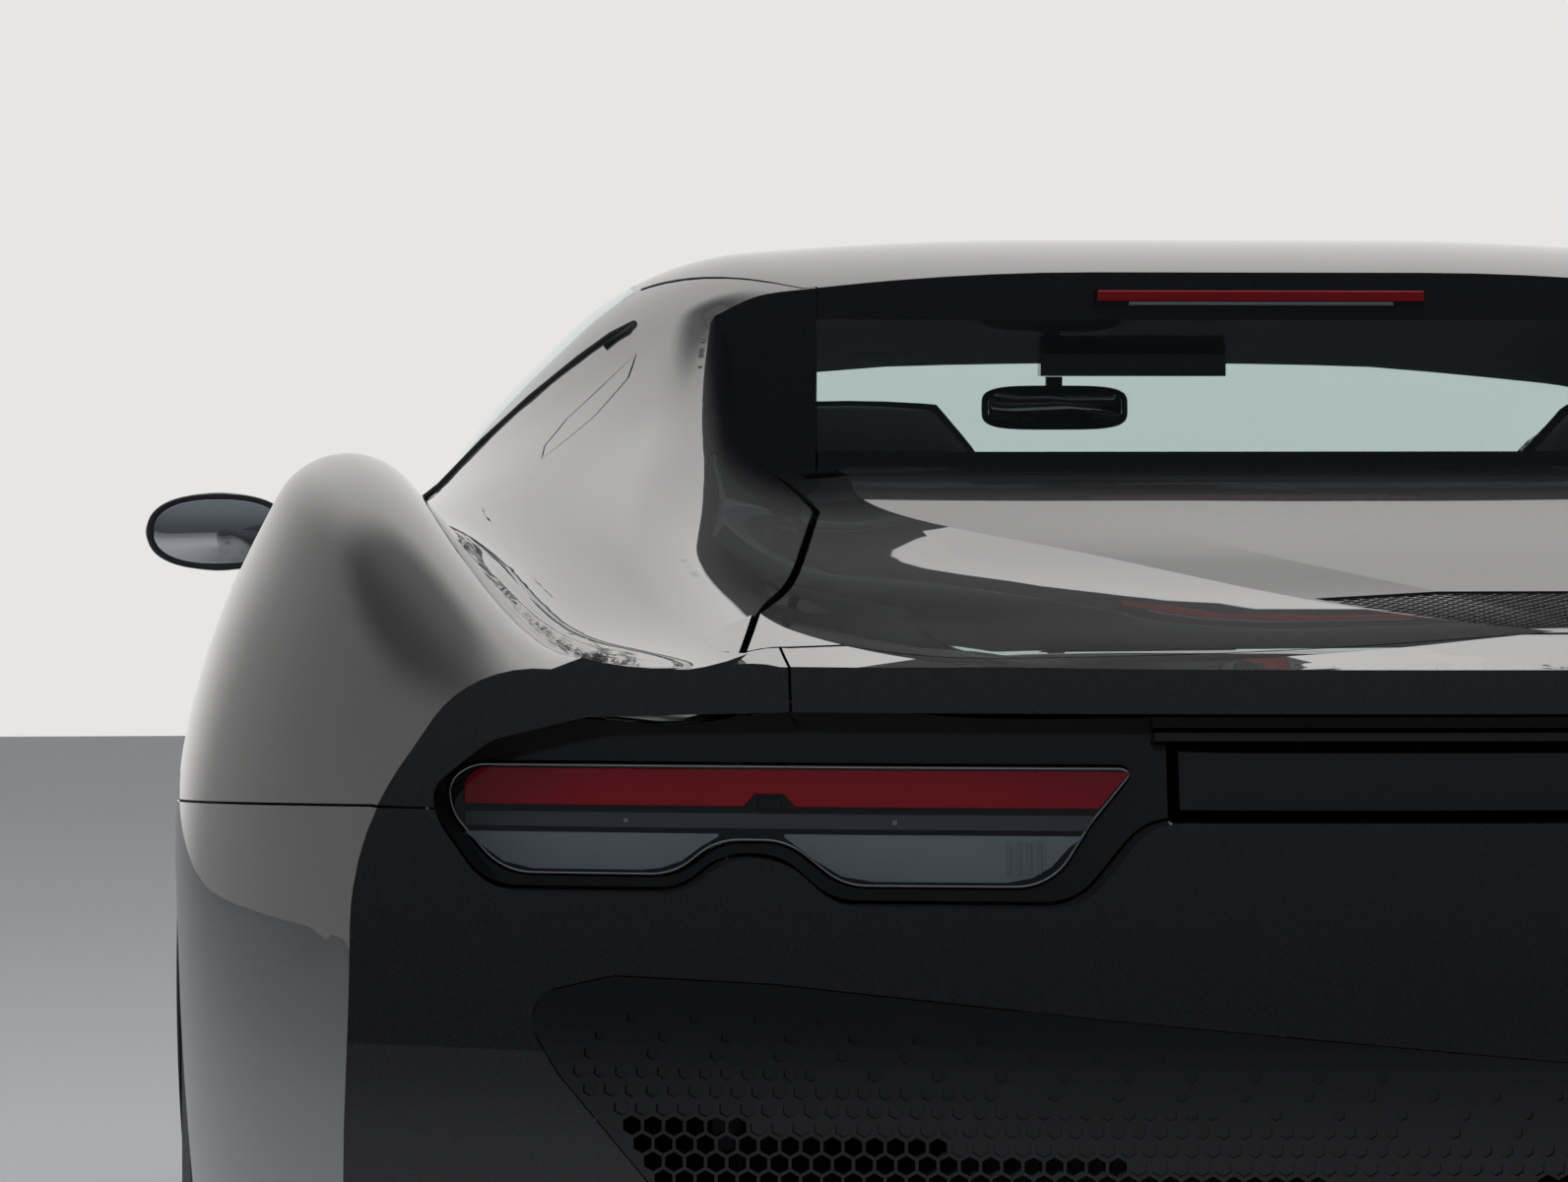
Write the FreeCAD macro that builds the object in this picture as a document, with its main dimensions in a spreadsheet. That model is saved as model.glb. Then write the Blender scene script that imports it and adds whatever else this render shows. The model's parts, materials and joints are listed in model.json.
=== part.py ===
import FreeCAD, Part
import math
import os
import Sketcher
from FreeCAD import Placement, Rotation, Vector

# Mid-engined two-seat sports car. Millimetres; X to the car's right, Y forward, Z up from the floor.

# Driving dimensions, each written once in the sheet.
SIZES = {
    "body_length": 4565, "front_overhang": 1040, "wheelbase": 2600,
    "track_front": 1665, "track_rear": 1632,
    "tyre_front_radius": 340, "tyre_front_width": 245,
    "tyre_rear_radius": 361, "tyre_rear_width": 305,
    "rim_radius": 252, "rim_wall": 8, "bead_gap": 0.3,
    "arch_front_radius": 388, "arch_rear_radius": 402,
    "skin_wall": 10, "shut_gap": 5, "seam_gap": 0.3,
    "floor_bottom": 116, "floor_top": 150,
    "sill_inner": 640, "sill_outer": 770, "sill_top": 350, "door_inner": 775, "sill_line": 230,
    "footwell_front": 1030, "bulkhead_wall": 27, "cowl_top": 760,
    "post_top": 800, "rear_bulkhead": -600,
    "front_rail_inner": 300, "front_rail_outer": 410, "front_rail_bottom": 200, "front_rail_top": 320,
    "rear_rail_inner": 420, "rear_rail_outer": 520, "rear_rail_bottom": 300, "rear_rail_top": 400,
    "front_beam": 2060, "rear_beam": -2060, "beam_depth": 50, "beam_half_width": 600,
    "disc_front_radius": 190, "disc_rear_radius": 180, "disc_wall": 32,
    "spindle_radius": 30, "running_gap": 0.05, "kingpin_radius": 12, "kingpin_offset": 42,
    "steering_wheel_radius": 175, "steering_grip": 15, "steering_column_radius": 20,
    "hinge_pin_radius": 6, "hinge_barrel_radius": 10,
    "door_axis_inset": 920, "door_axis_ahead": 66, "door_front": 757, "door_rear": -335,
    "engine_length": 620, "engine_width": 640, "engine_height": 430,
    "bin_half_width": 290, "bin_wall": 6,
    "exhaust_radius": 48, "exhaust_wall": 4,
    "spoiler_half_width": 346, "spoiler_wall": 37, "spoiler_depth": 150,
}

doc = FreeCAD.newDocument("sports_car")
sheet = doc.addObject("Spreadsheet::Sheet", "sizes")
for row, (alias, value) in enumerate(SIZES.items(), start=1):
    sheet.set(f"A{row}", alias)
    sheet.set(f"B{row}", str(value))
    sheet.setAlias(f"B{row}", alias)
doc.recompute()


def size(alias):
    return float(sheet.get(alias))


front_axle = size("body_length") / 2 - size("front_overhang")
rear_axle = front_axle - size("wheelbase")
REACH = 1100
HIGH = 1400

# Body form, half sections from nose to tail: y, then the (x, z) of each corner that the section rounds.
# columns: y, rocker, low flank, flank, shoulder, crown, belt, side, rail, roof
BODY = [
    (2330, (640, 170), (700, 210), (730, 280), (720, 350), (650, 400), (540, 418), (400, 428), (260, 436),
     (130, 440)),
    (2150, (760, 122), (835, 180), (870, 300), (855, 440), (750, 520), (590, 528), (440, 536), (300, 542),
     (150, 545)),
    (1900, (820, 115), (900, 210), (930, 380), (910, 550), (810, 655), (640, 618), (480, 622), (330, 627),
     (160, 629)),
    (1600, (855, 115), (930, 220), (952, 420), (936, 630), (828, 760), (660, 695), (500, 692), (340, 694),
     (170, 696)),
    (1243, (858, 115), (942, 240), (966, 450), (950, 690), (838, 842), (690, 765), (540, 752), (360, 758),
     (180, 762)),
    (1050, (858, 115), (942, 235), (964, 445), (946, 690), (842, 848), (700, 790), (560, 790), (380, 802),
     (190, 808)),
    (850, (855, 115), (938, 228), (958, 435), (938, 675), (848, 850), (715, 828), (600, 858), (430, 893),
     (215, 903)),
    (600, (848, 115), (932, 224), (950, 415), (925, 645), (848, 850), (735, 855), (665, 925), (500, 990),
     (250, 1003)),
    (300, (842, 115), (926, 220), (940, 400), (908, 620), (848, 852), (745, 880), (680, 985), (525, 1090),
     (260, 1103)),
    (0, (848, 115), (928, 220), (938, 400), (902, 618), (850, 862), (755, 900), (685, 1010), (535, 1160),
     (270, 1180)),
    (-250, (852, 115), (934, 220), (946, 408), (915, 642), (855, 890), (760, 920), (675, 1030), (530, 1162),
     (270, 1182)),
    (-500, (860, 115), (943, 220), (957, 420), (937, 680), (862, 925), (765, 935), (665, 1012), (520, 1112),
     (270, 1142)),
    (-750, (862, 118), (948, 232), (968, 455), (954, 740), (866, 975), (765, 935), (675, 978), (550, 1045),
     (280, 1080)),
    (-1050, (865, 124), (950, 250), (976, 492), (966, 800), (860, 1025), (750, 925), (680, 937), (580, 995),
     (300, 1035)),
    (-1357, (865, 130), (955, 260), (981, 500), (972, 820), (856, 1045), (735, 905), (670, 900), (600, 955),
     (320, 985)),
    (-1750, (855, 160), (940, 280), (966, 520), (954, 800), (832, 985), (710, 868), (655, 868), (600, 912),
     (320, 932)),
    (-2050, (800, 200), (872, 300), (897, 520), (884, 770), (793, 888), (690, 866), (640, 864), (595, 888),
     (320, 899)),
    (-2340, (725, 240), (790, 330), (812, 520), (800, 740), (735, 836), (665, 848), (625, 854), (585, 868),
     (320, 893)),
]

# The car's outline from above trims nose and tail; it is drawn at several heights: z, nose y, tail y.
FOOTPRINT = [
    (60, 2150, -2120), (180, 2261, -2195), (340, 2282, -2253), (560, 2255, -2282), (720, 2200, -2273),
             (880, 2100, -2236),
    (1030, 1960, -2180), (1300, 1650, -2050),
]
NOSE_SWEEP, TAIL_SWEEP = 1450, 2500

# Hollow between the buttresses, half sections: y, then deck, crease, gutter, wall foot and wall top.
SCOOP = [
    (-450, (200, 979), (380, 979), (440, 978), (470, 986), (500, 1300)),
    (-750, (200, 967), (400, 966), (450, 962), (495, 985), (640, 1300)),
    (-1050, (200, 949), (392, 946), (440, 940), (520, 948), (760, 1200)),
    (-1400, (180, 928), (290, 923), (420, 902), (545, 905), (850, 1130)),
    (-1750, (90, 904), (185, 899), (380, 884), (560, 886), (900, 1080)),
    (-2050, (40, 890), (95, 889), (320, 874), (575, 874), (900, 1040)),
    (-2360, (20, 888), (40, 888), (260, 880), (580, 867), (900, 1030)),
]


def rounded_wire(points, y, sharp, most=math.inf):
    """Closed section at one y: straight runs between corners, each rounded by the largest tangent arc."""
    count = len(points)
    corners = []
    for i, (x, z) in enumerate(points):
        corner = Vector(x, y, z)
        if i in sharp:
            corners.append((corner, corner, None))
            continue
        back = Vector(points[i - 1][0], y, points[i - 1][1]) - corner
        ahead = Vector(points[(i + 1) % count][0], y, points[(i + 1) % count][1]) - corner
        share_back = 0.9 if (i - 1) % count in sharp else 0.48
        share_ahead = 0.9 if (i + 1) % count in sharp else 0.48
        half_turn = math.tan(back.getAngle(ahead) / 2)
        reach = min(back.Length * share_back, ahead.Length * share_ahead, most / half_turn)
        back.normalize()
        ahead.normalize()
        radius = reach * half_turn
        inward = back + ahead
        if inward.Length < 0.005:
            inward = Vector(0, 0, 0)
            middle = None
        else:
            inward.normalize()
            middle = corner + inward * (math.hypot(reach, radius) - radius)
        corners.append((corner + back * reach, corner + ahead * reach, middle))
    edges = []
    for i in range(count):
        start, end, middle = corners[i]
        if middle is not None:
            edges.append(Part.Arc(start, middle, end).toShape())
        elif (end - start).Length > 1e-6:
            edges.append(Part.LineSegment(start, end).toShape())
        edges.append(Part.LineSegment(end, corners[(i + 1) % count][0]).toShape())
    return Part.Wire(edges)


def inset(points, depth, middle_plane=0):
    """Outline corners moved inward by a wall's depth; a half outline's ends stay on the middle plane."""
    count = len(points)
    moved = []
    for i, (x, z) in enumerate(points):
        before = points[i - 1]
        after = points[(i + 1) % count]
        first = (x - before[0], z - before[1])
        second = (after[0] - x, after[1] - z)
        first_length = math.hypot(*first)
        second_length = math.hypot(*second)
        normal_a = (-first[1] / first_length, first[0] / first_length)
        normal_b = (-second[1] / second_length, second[0] / second_length)
        middle = (normal_a[0] + normal_b[0], normal_a[1] + normal_b[1])
        length = math.hypot(*middle)
        middle = (middle[0] / length, middle[1] / length)
        step = depth / max(0.5, middle[0] * normal_a[0] + middle[1] * normal_a[1])
        moved.append((x + middle[0] * step, z + middle[1] * step))
    if points[0][0] == middle_plane:
        moved[0] = (middle_plane, moved[1][1])
        moved[-1] = (middle_plane, moved[-2][1])
    return moved


def half_loft(table, wall=0, creases=()):
    """Half of a body form, x from 0: its rounded sections joined smoothly. wall moves the surface inward."""
    wires = []
    first, last = table[0][0], table[-1][0]
    for y, *corners in table:
        points = [(0, corners[0][1]), *corners, (0, corners[-1][1])]
        if wall:
            points = inset(points, wall)
        place = y
        if y == first:
            place -= wall
        if y == last:
            place += wall
        wires.append(rounded_wire(points, place, {0, 1, len(points) - 1, *creases}))
    return Part.makeLoft(wires, True, False)


def sweep_arc(y_middle, radius, x_end, sign):
    """Plan arc from the middle plane out to x_end, falling away from the nose (1) or the tail (-1)."""
    ends = [y_middle - sign * (radius - math.sqrt(radius ** 2 - x ** 2)) for x in (x_end / 2, x_end)]
    points = (Vector(0, y_middle, 0), Vector(x_end / 2, ends[0], 0), Vector(x_end, ends[1], 0))
    return Part.Arc(*points).toShape(), points[0], points[2]


def footprint(wall=0):
    """Solid that trims the body's nose and tail to their curves, right half."""
    wires = []
    for z, nose_y, tail_y in FOOTPRINT:
        nose, nose_start, nose_end = sweep_arc(nose_y - wall, NOSE_SWEEP, REACH, 1)
        tail, tail_start, tail_end = sweep_arc(tail_y + wall, TAIL_SWEEP, REACH, -1)
        side = Part.LineSegment(nose_end, tail_end).toShape()
        middle = Part.LineSegment(tail_start, nose_start).toShape()
        wire = Part.Wire([nose, side, tail, middle])
        wire.translate(Vector(0, 0, z))
        wires.append(wire)
    return Part.makeLoft(wires, True, False)


def block(x, y, z):
    """Box between three (low, high) pairs."""
    return Part.makeBox(x[1] - x[0], y[1] - y[0], z[1] - z[0], Vector(x[0], y[0], z[0]))


def prism(points, axis, low, high):
    """Polygon pushed along an axis: points are (y, z) for X, (x, z) for Y and (x, y) for Z."""
    place = {
        "X": lambda a, b: Vector(low, a, b),
        "Y": lambda a, b: Vector(a, low, b),
        "Z": lambda a, b: Vector(a, b, low),
    }
    push = {"X": Vector(high - low, 0, 0), "Y": Vector(0, high - low, 0), "Z": Vector(0, 0, high - low)}
    outline = [place[axis](a, b) for a, b in points]
    return Part.Face(Part.makePolygon(outline + outline[:1])).extrude(push[axis])


def mirrored(shape):
    return shape.mirror(Vector(0, 0, 0), Vector(1, 0, 0))


def both(shape):
    return Part.makeCompound([shape, mirrored(shape)])


def joined(*shapes):
    whole = shapes[0].multiFuse(list(shapes[1:]))
    return whole.removeSplitter()


def cylinder(radius, start, end):
    start, end = Vector(*start), Vector(*end)
    return Part.makeCylinder(radius, (end - start).Length, start, end - start)


nodes = {}


def node(name, shape):
    """A finished sub-part under its own label, for forms cut from the lofted body."""
    feature = doc.addObject("Part::Feature", name)
    feature.Label = name
    feature.Shape = shape
    nodes[name] = feature
    return feature


def bound(kind, name, formulas):
    """An object of the document with its sizes and place tied to the sheet."""
    made = doc.addObject(kind, name)
    for target, formula in formulas.items():
        made.setExpression(target, formula)
    return made


def bound_box(name, x, y, z):
    """Box between three pairs of formulas, low and high."""
    formulas = {}
    for length, axis, (low, high) in (("Length", "x", x), ("Width", "y", y), ("Height", "z", z)):
        formulas[length] = f"({high}) - ({low})"
        formulas[f"Placement.Base.{axis}"] = low
    return bound("Part::Box", name, formulas)


def bound_rod(name, radius, x, y, z):
    """Cylinder along Y between a pair of formulas."""
    formulas = {"Radius": radius, "Height": f"({y[1]}) - ({y[0]})",
                "Placement.Base.x": x, "Placement.Base.y": y[0], "Placement.Base.z": z}
    rod = doc.addObject("Part::Cylinder", name)
    rod.Placement = Placement(Vector(0, 0, 0), Rotation(Vector(1, 0, 0), -90))
    for target, formula in formulas.items():
        rod.setExpression(target, formula)
    return rod


def fused(name, pieces):
    made = doc.addObject("Part::MultiFuse", name)
    made.Shapes = pieces
    made.Refine = True
    return made


def less(name, base, tool):
    made = doc.addObject("Part::Cut", name)
    made.Base, made.Tool = base, tool
    return made


def own_node(name, made):
    """Makes an object of the document a sub-part."""
    made.Label = name
    nodes[name] = made


def belt_x(y):
    """Plan line where the door's glass meets the door."""
    (front_x, front_y), (rear_x, rear_y) = BELT
    return front_x + (rear_x - front_x) * (y - front_y) / (rear_y - front_y)


def panel(region, *carriers, cuts=(), walls=()):
    """Skin inside a region less the cuts, joined with pocket walls and with the blocks that carry it."""
    shape = skin.common(region)
    if cuts:
        shape = shape.cut(Part.makeCompound(cuts))
    extra = [body_out.common(carrier) for carrier in carriers]
    extra += [piece.common(region) for piece in walls]
    return joined(shape, *extra) if extra else shape


def across(half):
    """A middle piece from its right half."""
    return joined(half, mirrored(half))


gap = size("shut_gap") / 2
seam = size("seam_gap") / 2
wall = size("skin_wall")

def body_form(depth):
    """Right half of the car's closed outside, moved inward by a depth."""
    return half_loft(BODY, depth).cut(half_loft(SCOOP, -depth, {2})).common(footprint(depth))


# Tail's recess under the lip, the lamp glass in it and the mesh below, as (x, z) seen from behind.
RECESS = ((-1, 775), (366, 775), (410, 722), (562, 722), (593, 751), (630, 751), (655, 729), (778, 729),
          (808, 772), (812, 792),
          (775, 822), (715, 837), (590, 841), (-1, 841))
RECESS_DEPTH, PANEL_WALL, LENS_PROUD, RETURN_WALL = 34, 8, 8, 3
OUTLINE_RADIUS = 40
LAMP_OUTLINE = ((374, 803), (400, 772), (425, 731), (556, 731), (590, 759), (633, 759), (660, 737),
                (768, 737), (800, 775),
                (802, 796), (786, 808), (379, 808))
MESH_OUTLINE = ((-1, 620), (116, 626), (400, 652), (600, 672), (700, 676), (745, 665), (752, 645),
                (735, 615), (706, 580),
                (640, 500), (560, 420), (470, 380), (-1, 380))


def pushed(outline, near, far):
    """Outline of (x, z) pushed along Y, with its corners rounded except on the middle plane."""
    sharp = {i for i, (x, z) in enumerate(outline) if x < 0}
    return Part.Face(rounded_wire(outline, near, sharp, OUTLINE_RADIUS)).extrude(Vector(0, far - near, 0))


def from_behind(outline):
    return pushed(outline, -2400, -1950)


def grown(outline, step):
    """Outline with every corner moved outward by about a step."""
    return inset(outline, -step, -1)


body_out = body_form(0)
recess_back = body_form(RECESS_DEPTH + PANEL_WALL)
recess_face = body_form(RECESS_DEPTH)
lens_face = body_form(RECESS_DEPTH - LENS_PROUD)
INTAKES = (((-1, 185), (300, 190), (385, 262), (330, 312), (-1, 300)),
           ((500, 215), (700, 225), (770, 300), (720, 352), (500, 325)))
skin = body_out.cut(body_form(wall))


def from_ahead(outline):
    return pushed(outline, 1850, 2400)


def pocket_wall(outline, push):
    """Thin wall that runs inward round a pocket's outline."""
    return body_out.common(push(grown(outline, RETURN_WALL))).cut(push(outline)).cut(recess_back)


recess_walls = pocket_wall(RECESS, from_behind)
intake_walls = Part.makeCompound([pocket_wall(outline, from_ahead) for outline in INTAKES])


def arch(axle, radius, inner):
    return cylinder(radius, (inner, axle[0], axle[1]), (REACH, axle[0], axle[1]))


front_centre = (front_axle, size("tyre_front_radius"))
rear_centre = (rear_axle, size("tyre_rear_radius"))
arches = Part.makeCompound([
    arch(front_centre, size("arch_front_radius"), 560),
    arch(rear_centre, size("arch_rear_radius"), 600),
])

# Where the body's panels meet: the belt line, the pillars and the lids, in side view (y, z) and plan (x, y).
BONNET_FRONT, BONNET_REAR = 1985, 1085
BUMPER_LINE = 560
ROOF_FRONT, ROOF_REAR, ROOF_EDGE = 318, -450, 545
LID_FRONT, LID_REAR = -625, -2105
LID_EDGE = ((455, LID_FRONT), (455, -1000), (612, LID_REAR))
LAMP_LINE, WAIST_LINE, WAIST_FRONT = 822, 780, 742
BELT = ((733, 754), (762, -308))
BONNET_EDGE = ((560, BONNET_FRONT), (640, 1600), (655, 1243), (640, BONNET_REAR))
GLASS_PLAN = ((0, 1055), (400, 1030), (600, 935), (478, 395), (250, 360), (0, 350))
PILLAR_LINE = ((735, 800), (ROOF_EDGE, 300))
DOOR_FRONT, DOOR_REAR = size("door_front"), size("door_rear")


# Hinge axes: plan (x, y) of the door's, and side (y, z) of the two lids'.
DOOR_AXIS = (size("door_axis_inset"), DOOR_FRONT + size("door_axis_ahead"))
DOOR_HINGES = ((296, 320), (496, 520))
BONNET_AXIS = (1000, 770)
LID_AXIS = (-545, 946)
pin_fit = size("hinge_pin_radius") + size("running_gap")


def upright_cylinder(radius, at, low, high):
    return cylinder(radius, (at[0], at[1], low), (at[0], at[1], high))


def spoiler_sleeves():
    bore = cylinder(9 + size("running_gap"), (220, -2200, 798), (220, -1900, 798))
    return [block((200, 240), (-2060, -1990), (430, 818)).cut(bore)]


def strip(points, half_width, low, high):
    """Flat bar of even width through plan points, rounded at each."""
    pieces = []
    for a, b in zip(points, points[1:]):
        along = Vector(b[0] - a[0], b[1] - a[1], 0)
        across_bar = Vector(-along.y, along.x, 0).normalize() * half_width
        corners = [(a[0] + s * across_bar.x, a[1] + s * across_bar.y) for s in (1, -1)]
        corners += [(b[0] + s * across_bar.x, b[1] + s * across_bar.y) for s in (-1, 1)]
        pieces.append(prism(corners, "Z", low, high))
        pieces.append(upright_cylinder(half_width, b, low, high))
    return joined(*pieces)


def chassis():
    """Floor, sills, posts and bulkheads of the tub as one welded structure, right half then mirrored."""
    floor = (size("floor_bottom"), size("floor_top"))
    sill = (size("sill_inner"), size("sill_outer"))
    front = size("footwell_front")
    thick = size("bulkhead_wall")
    rear = size("rear_bulkhead")
    boxes = [
        block((0, sill[1]), (rear, 850), floor),
        block((0, 460), (850, front + thick), floor),
        block(sill, (rear, 850), (floor[0], size("sill_top"))),
        block((0, 460), (front, front + thick), (floor[0], size("cowl_top"))),
        block((430, 460), (820, front), (floor[0], 700)),
        block((430, sill[0]), (820, 850), (floor[0], 700)),
        block(sill, (777, 850), (floor[0], size("post_top"))),
        block(sill, (-430, -345), (floor[0], 860)),
        block((0, sill[1] - 30), (rear, rear + 40), (floor[0], 930)),
        block((430, 565), (985, front), (690, 720)),
        block((545, 565), (985, 1015), (690, 782)),
        block((370, 390), (-575, -533), (880, 958)),
    ]
    for low, high in DOOR_HINGES:
        boxes.append(block((sill[1] - 10, DOOR_AXIS[0]), (DOOR_AXIS[1] - 12, DOOR_AXIS[1] + 12), (low, high)))
        boxes.append(upright_cylinder(size("hinge_barrel_radius"), DOOR_AXIS, low, high))
        boxes.append(upright_cylinder(size("hinge_pin_radius"), DOOR_AXIS, low, high + 30))
    boxes.append(cylinder(size("hinge_pin_radius"), (545, *BONNET_AXIS), (598, *BONNET_AXIS)))
    boxes.append(cylinder(size("hinge_pin_radius"), (370, *LID_AXIS), (422, *LID_AXIS)))
    return across(joined(*boxes))


def front_subframe():
    """Rails, crash beam and damper towers ahead of the front bulkhead."""
    rail = (size("front_rail_inner"), size("front_rail_outer"))
    start = size("footwell_front") + size("bulkhead_wall")
    beam, depth = size("front_beam"), size("beam_depth")
    bottom = size("front_rail_bottom")
    boxes = [
        block(rail, (start, beam), (bottom, size("front_rail_top"))),
        block((0, size("beam_half_width")), (beam - depth, beam), (bottom, 420)),
        block((380, 440), (front_axle - 150, front_axle + 150), (bottom, 640)),
    ]
    return across(joined(*boxes))


def rear_subframe():
    """Rails, crash beam and damper towers behind the rear bulkhead, with the spoiler's sleeves."""
    rail = (size("rear_rail_inner"), size("rear_rail_outer"))
    beam, depth = size("rear_beam"), size("beam_depth")
    bottom = size("rear_rail_bottom")
    boxes = [
        block(rail, (beam, size("rear_bulkhead")), (bottom, size("rear_rail_top"))),
        block((0, size("beam_half_width")), (beam, beam + depth), (bottom, 430)),
        block((500, 560), (rear_axle - 150, rear_axle + 150), (bottom, 660)),
        *spoiler_sleeves(),
    ]
    return across(joined(*boxes))


def front_bumper():
    region = prism(((1500, 60), (2400, 60), (2400, 900), (BONNET_FRONT + gap, 900),
                    (BONNET_FRONT + gap, BUMPER_LINE - seam), (1500, BUMPER_LINE - seam)), "X", 0, REACH)
    carrier = block((0, 90), (size("front_beam"), 2300), (320, 380))
    cuts = [arches, headlamp_region(seam), *[from_ahead(outline) for outline in INTAKES]]
    housing = block((500, REACH), (front_axle + 100, 1700), (120, BUMPER_LINE - seam))
    inner = liner(front_centre, size("arch_front_radius"), housing)
    return across(panel(region, carrier, cuts=cuts, walls=[intake_walls, inner]))


def headlamp_region(grow):
    """Swept-back lamp across the nose's corner, in plan."""
    outline = ((600 - grow, 1905), (640, 1960 + grow), (760, 1930 + grow), (905 + grow, 1700),
               (880, 1640 - grow), (760 - grow, 1760))
    return prism(outline, "Z", 520, HIGH)


def headlamp():
    return skin.common(headlamp_region(0)).cut(arches)


def fender():
    side = prism(((BONNET_FRONT - seam, BUMPER_LINE + seam), (1400, BUMPER_LINE + seam),
                  (1400, size("sill_line") + seam),
                  (DOOR_FRONT + gap, size("sill_line") + seam), (DOOR_FRONT + gap, HIGH),
                  (BONNET_FRONT - seam, HIGH)),
                 "X", 0, REACH)
    edge = [(x + gap, y) for x, y in BONNET_EDGE]
    edge = [(edge[0][0], edge[0][1] + 20), *edge, (700, 1060), (742, 800), (760, 700)]
    plan = prism(tuple(edge) + ((REACH, 700), (REACH, edge[0][1])), "Z", 0, HIGH)
    carrier = block((size("sill_inner") + 60, 900), (850, 875), (700, 780))
    line = size("sill_line") + seam
    housing = prism(((800, line), (front_axle, line), (front_axle, BUMPER_LINE + seam),
                     (1700, BUMPER_LINE + seam), (1700, 800), (800, 800)),
                    "X", 500, REACH)
    region = side.common(plan)
    shape = panel(region, carrier, cuts=[arches, headlamp_region(seam)])
    return joined(shape, liner(front_centre, size("arch_front_radius"), housing))


def bonnet():
    edge = [(x - gap, y) for x, y in BONNET_EDGE]
    edge[0] = (edge[0][0], edge[0][1] - gap)
    edge[-1] = (edge[-1][0], edge[-1][1] + gap)
    plan = prism(((0, BONNET_FRONT - gap), *edge, (0, BONNET_REAR + gap)), "Z", 500, HIGH)
    arm = block((572, 596), (BONNET_AXIS[0] - 10, 1150), (BONNET_AXIS[1] - 10, BONNET_AXIS[1] + 10))
    pin_hole = cylinder(pin_fit, (500, *BONNET_AXIS), (700, *BONNET_AXIS))
    return across(panel(plan, arm).cut(pin_hole))


def windscreen():
    return across(skin.common(prism(GLASS_PLAN, "Z", 600, HIGH)))


MIRROR_TOP = 1062


def windscreen_frame():
    """Cowl, pillars and header round the windscreen."""
    (px, py), (qx, qy) = PILLAR_LINE
    outline = ((0, BONNET_REAR - gap), (640, BONNET_REAR - gap), (695, 1060), (740, 800), (px - gap, py),
               (qx - gap, qy),
               (qx - gap, ROOF_FRONT + seam), (0, ROOF_FRONT + seam))
    region = prism(outline, "Z", 600, HIGH).cut(prism(GLASS_PLAN, "Z", 500, HIGH))
    front = size("footwell_front") + size("bulkhead_wall")
    carrier = block((0, 400), (front, BONNET_REAR - gap - 1), (700, HIGH))
    mirror_foot = block((0, 95), (ROOF_FRONT + 7, 348), (MIRROR_TOP, HIGH))
    hinge_slot = block((567, 601), (985, 1100), (700, 900))
    return across(panel(region, carrier, mirror_foot).cut(hinge_slot))


def door():
    """Outer skin, frame and trim of the door as one body, as thick as the whole door."""
    inner, low = size("door_inner"), size("sill_line") + 5
    thick = prism(((inner, low), (inner, 640), (740, 860), (700, 1000), (REACH, 1000), (REACH, low)), "Y",
                  -400, 800)
    plan = prism(((belt_x(DOOR_FRONT - 8), DOOR_FRONT - 8), (REACH, DOOR_FRONT - 8), (REACH, DOOR_REAR),
                  (940, DOOR_REAR),
                  (inner, DOOR_REAR + 32), (belt_x(DOOR_REAR + 32), DOOR_REAR + 32)), "Z", 0, HIGH)
    flange = block((745, REACH), (DOOR_FRONT - 40, DOOR_FRONT - gap), (low, 1000))
    x, y = DOOR_AXIS
    arms = []
    for low, high in DOOR_HINGES:
        bar = strip(((x, y), (x - 70, y - 47), (x - 40, y - 106)), 6, high + 5, high + 29)
        arms.append(joined(bar, upright_cylinder(size("hinge_barrel_radius"), DOOR_AXIS, high + 5,
                                                 high + 29)))
    pin_holes = upright_cylinder(pin_fit, DOOR_AXIS, 200, 700)
    return joined(body_out.common(thick.common(plan)), skin.common(flange),
                  *[arm.cut(pin_holes) for arm in arms])


def door_glass():
    (px, py), (qx, qy) = PILLAR_LINE
    outline = ((px + gap - 19, DOOR_FRONT - 8), (qx + gap, qy), (qx + gap, -232),
               (belt_x(DOOR_REAR + 32), DOOR_REAR + 32),
               (belt_x(DOOR_FRONT - 8), DOOR_FRONT - 8))
    return skin.common(prism(outline, "Z", 700, HIGH))


def hardtop():
    outline = ((0, ROOF_FRONT - seam), (ROOF_EDGE - gap, ROOF_FRONT - seam), (ROOF_EDGE - gap, -232),
               (412, ROOF_REAR + 5),
               (400, ROOF_REAR + 5), (400, ROOF_REAR - 20), (0, ROOF_REAR - 20))
    side = prism(((400, 1000), (-380, 1000), (-400, 1110), (-500, 1110), (-500, HIGH), (400, HIGH)), "X", 0,
                 REACH)
    return across(skin.common(side.common(prism(outline, "Z", 900, HIGH))))


def rear_window():
    region = block((0, 400), (ROOF_REAR - 5, ROOF_REAR + 30), (992, 1110 - 2 * seam))
    return across(skin.common(region))


def rear_deck():
    plan = ((0, LID_FRONT + gap), (455 - seam, LID_FRONT + gap), (455 - seam, ROOF_REAR - 10 - 2 * seam),
            (400, ROOF_REAR - 10 - 2 * seam),
            (400, ROOF_REAR + 30), (0, ROOF_REAR + 30))
    region = prism(plan, "Z", 900, 992 - 2 * seam)
    carrier = block((0, 300), (size("rear_bulkhead"), size("rear_bulkhead") + 30), (930, 975))
    hinge_slot = block((391, 426), (-640, -530), (900, 1000))
    return across(panel(region, carrier).cut(hinge_slot))


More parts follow.
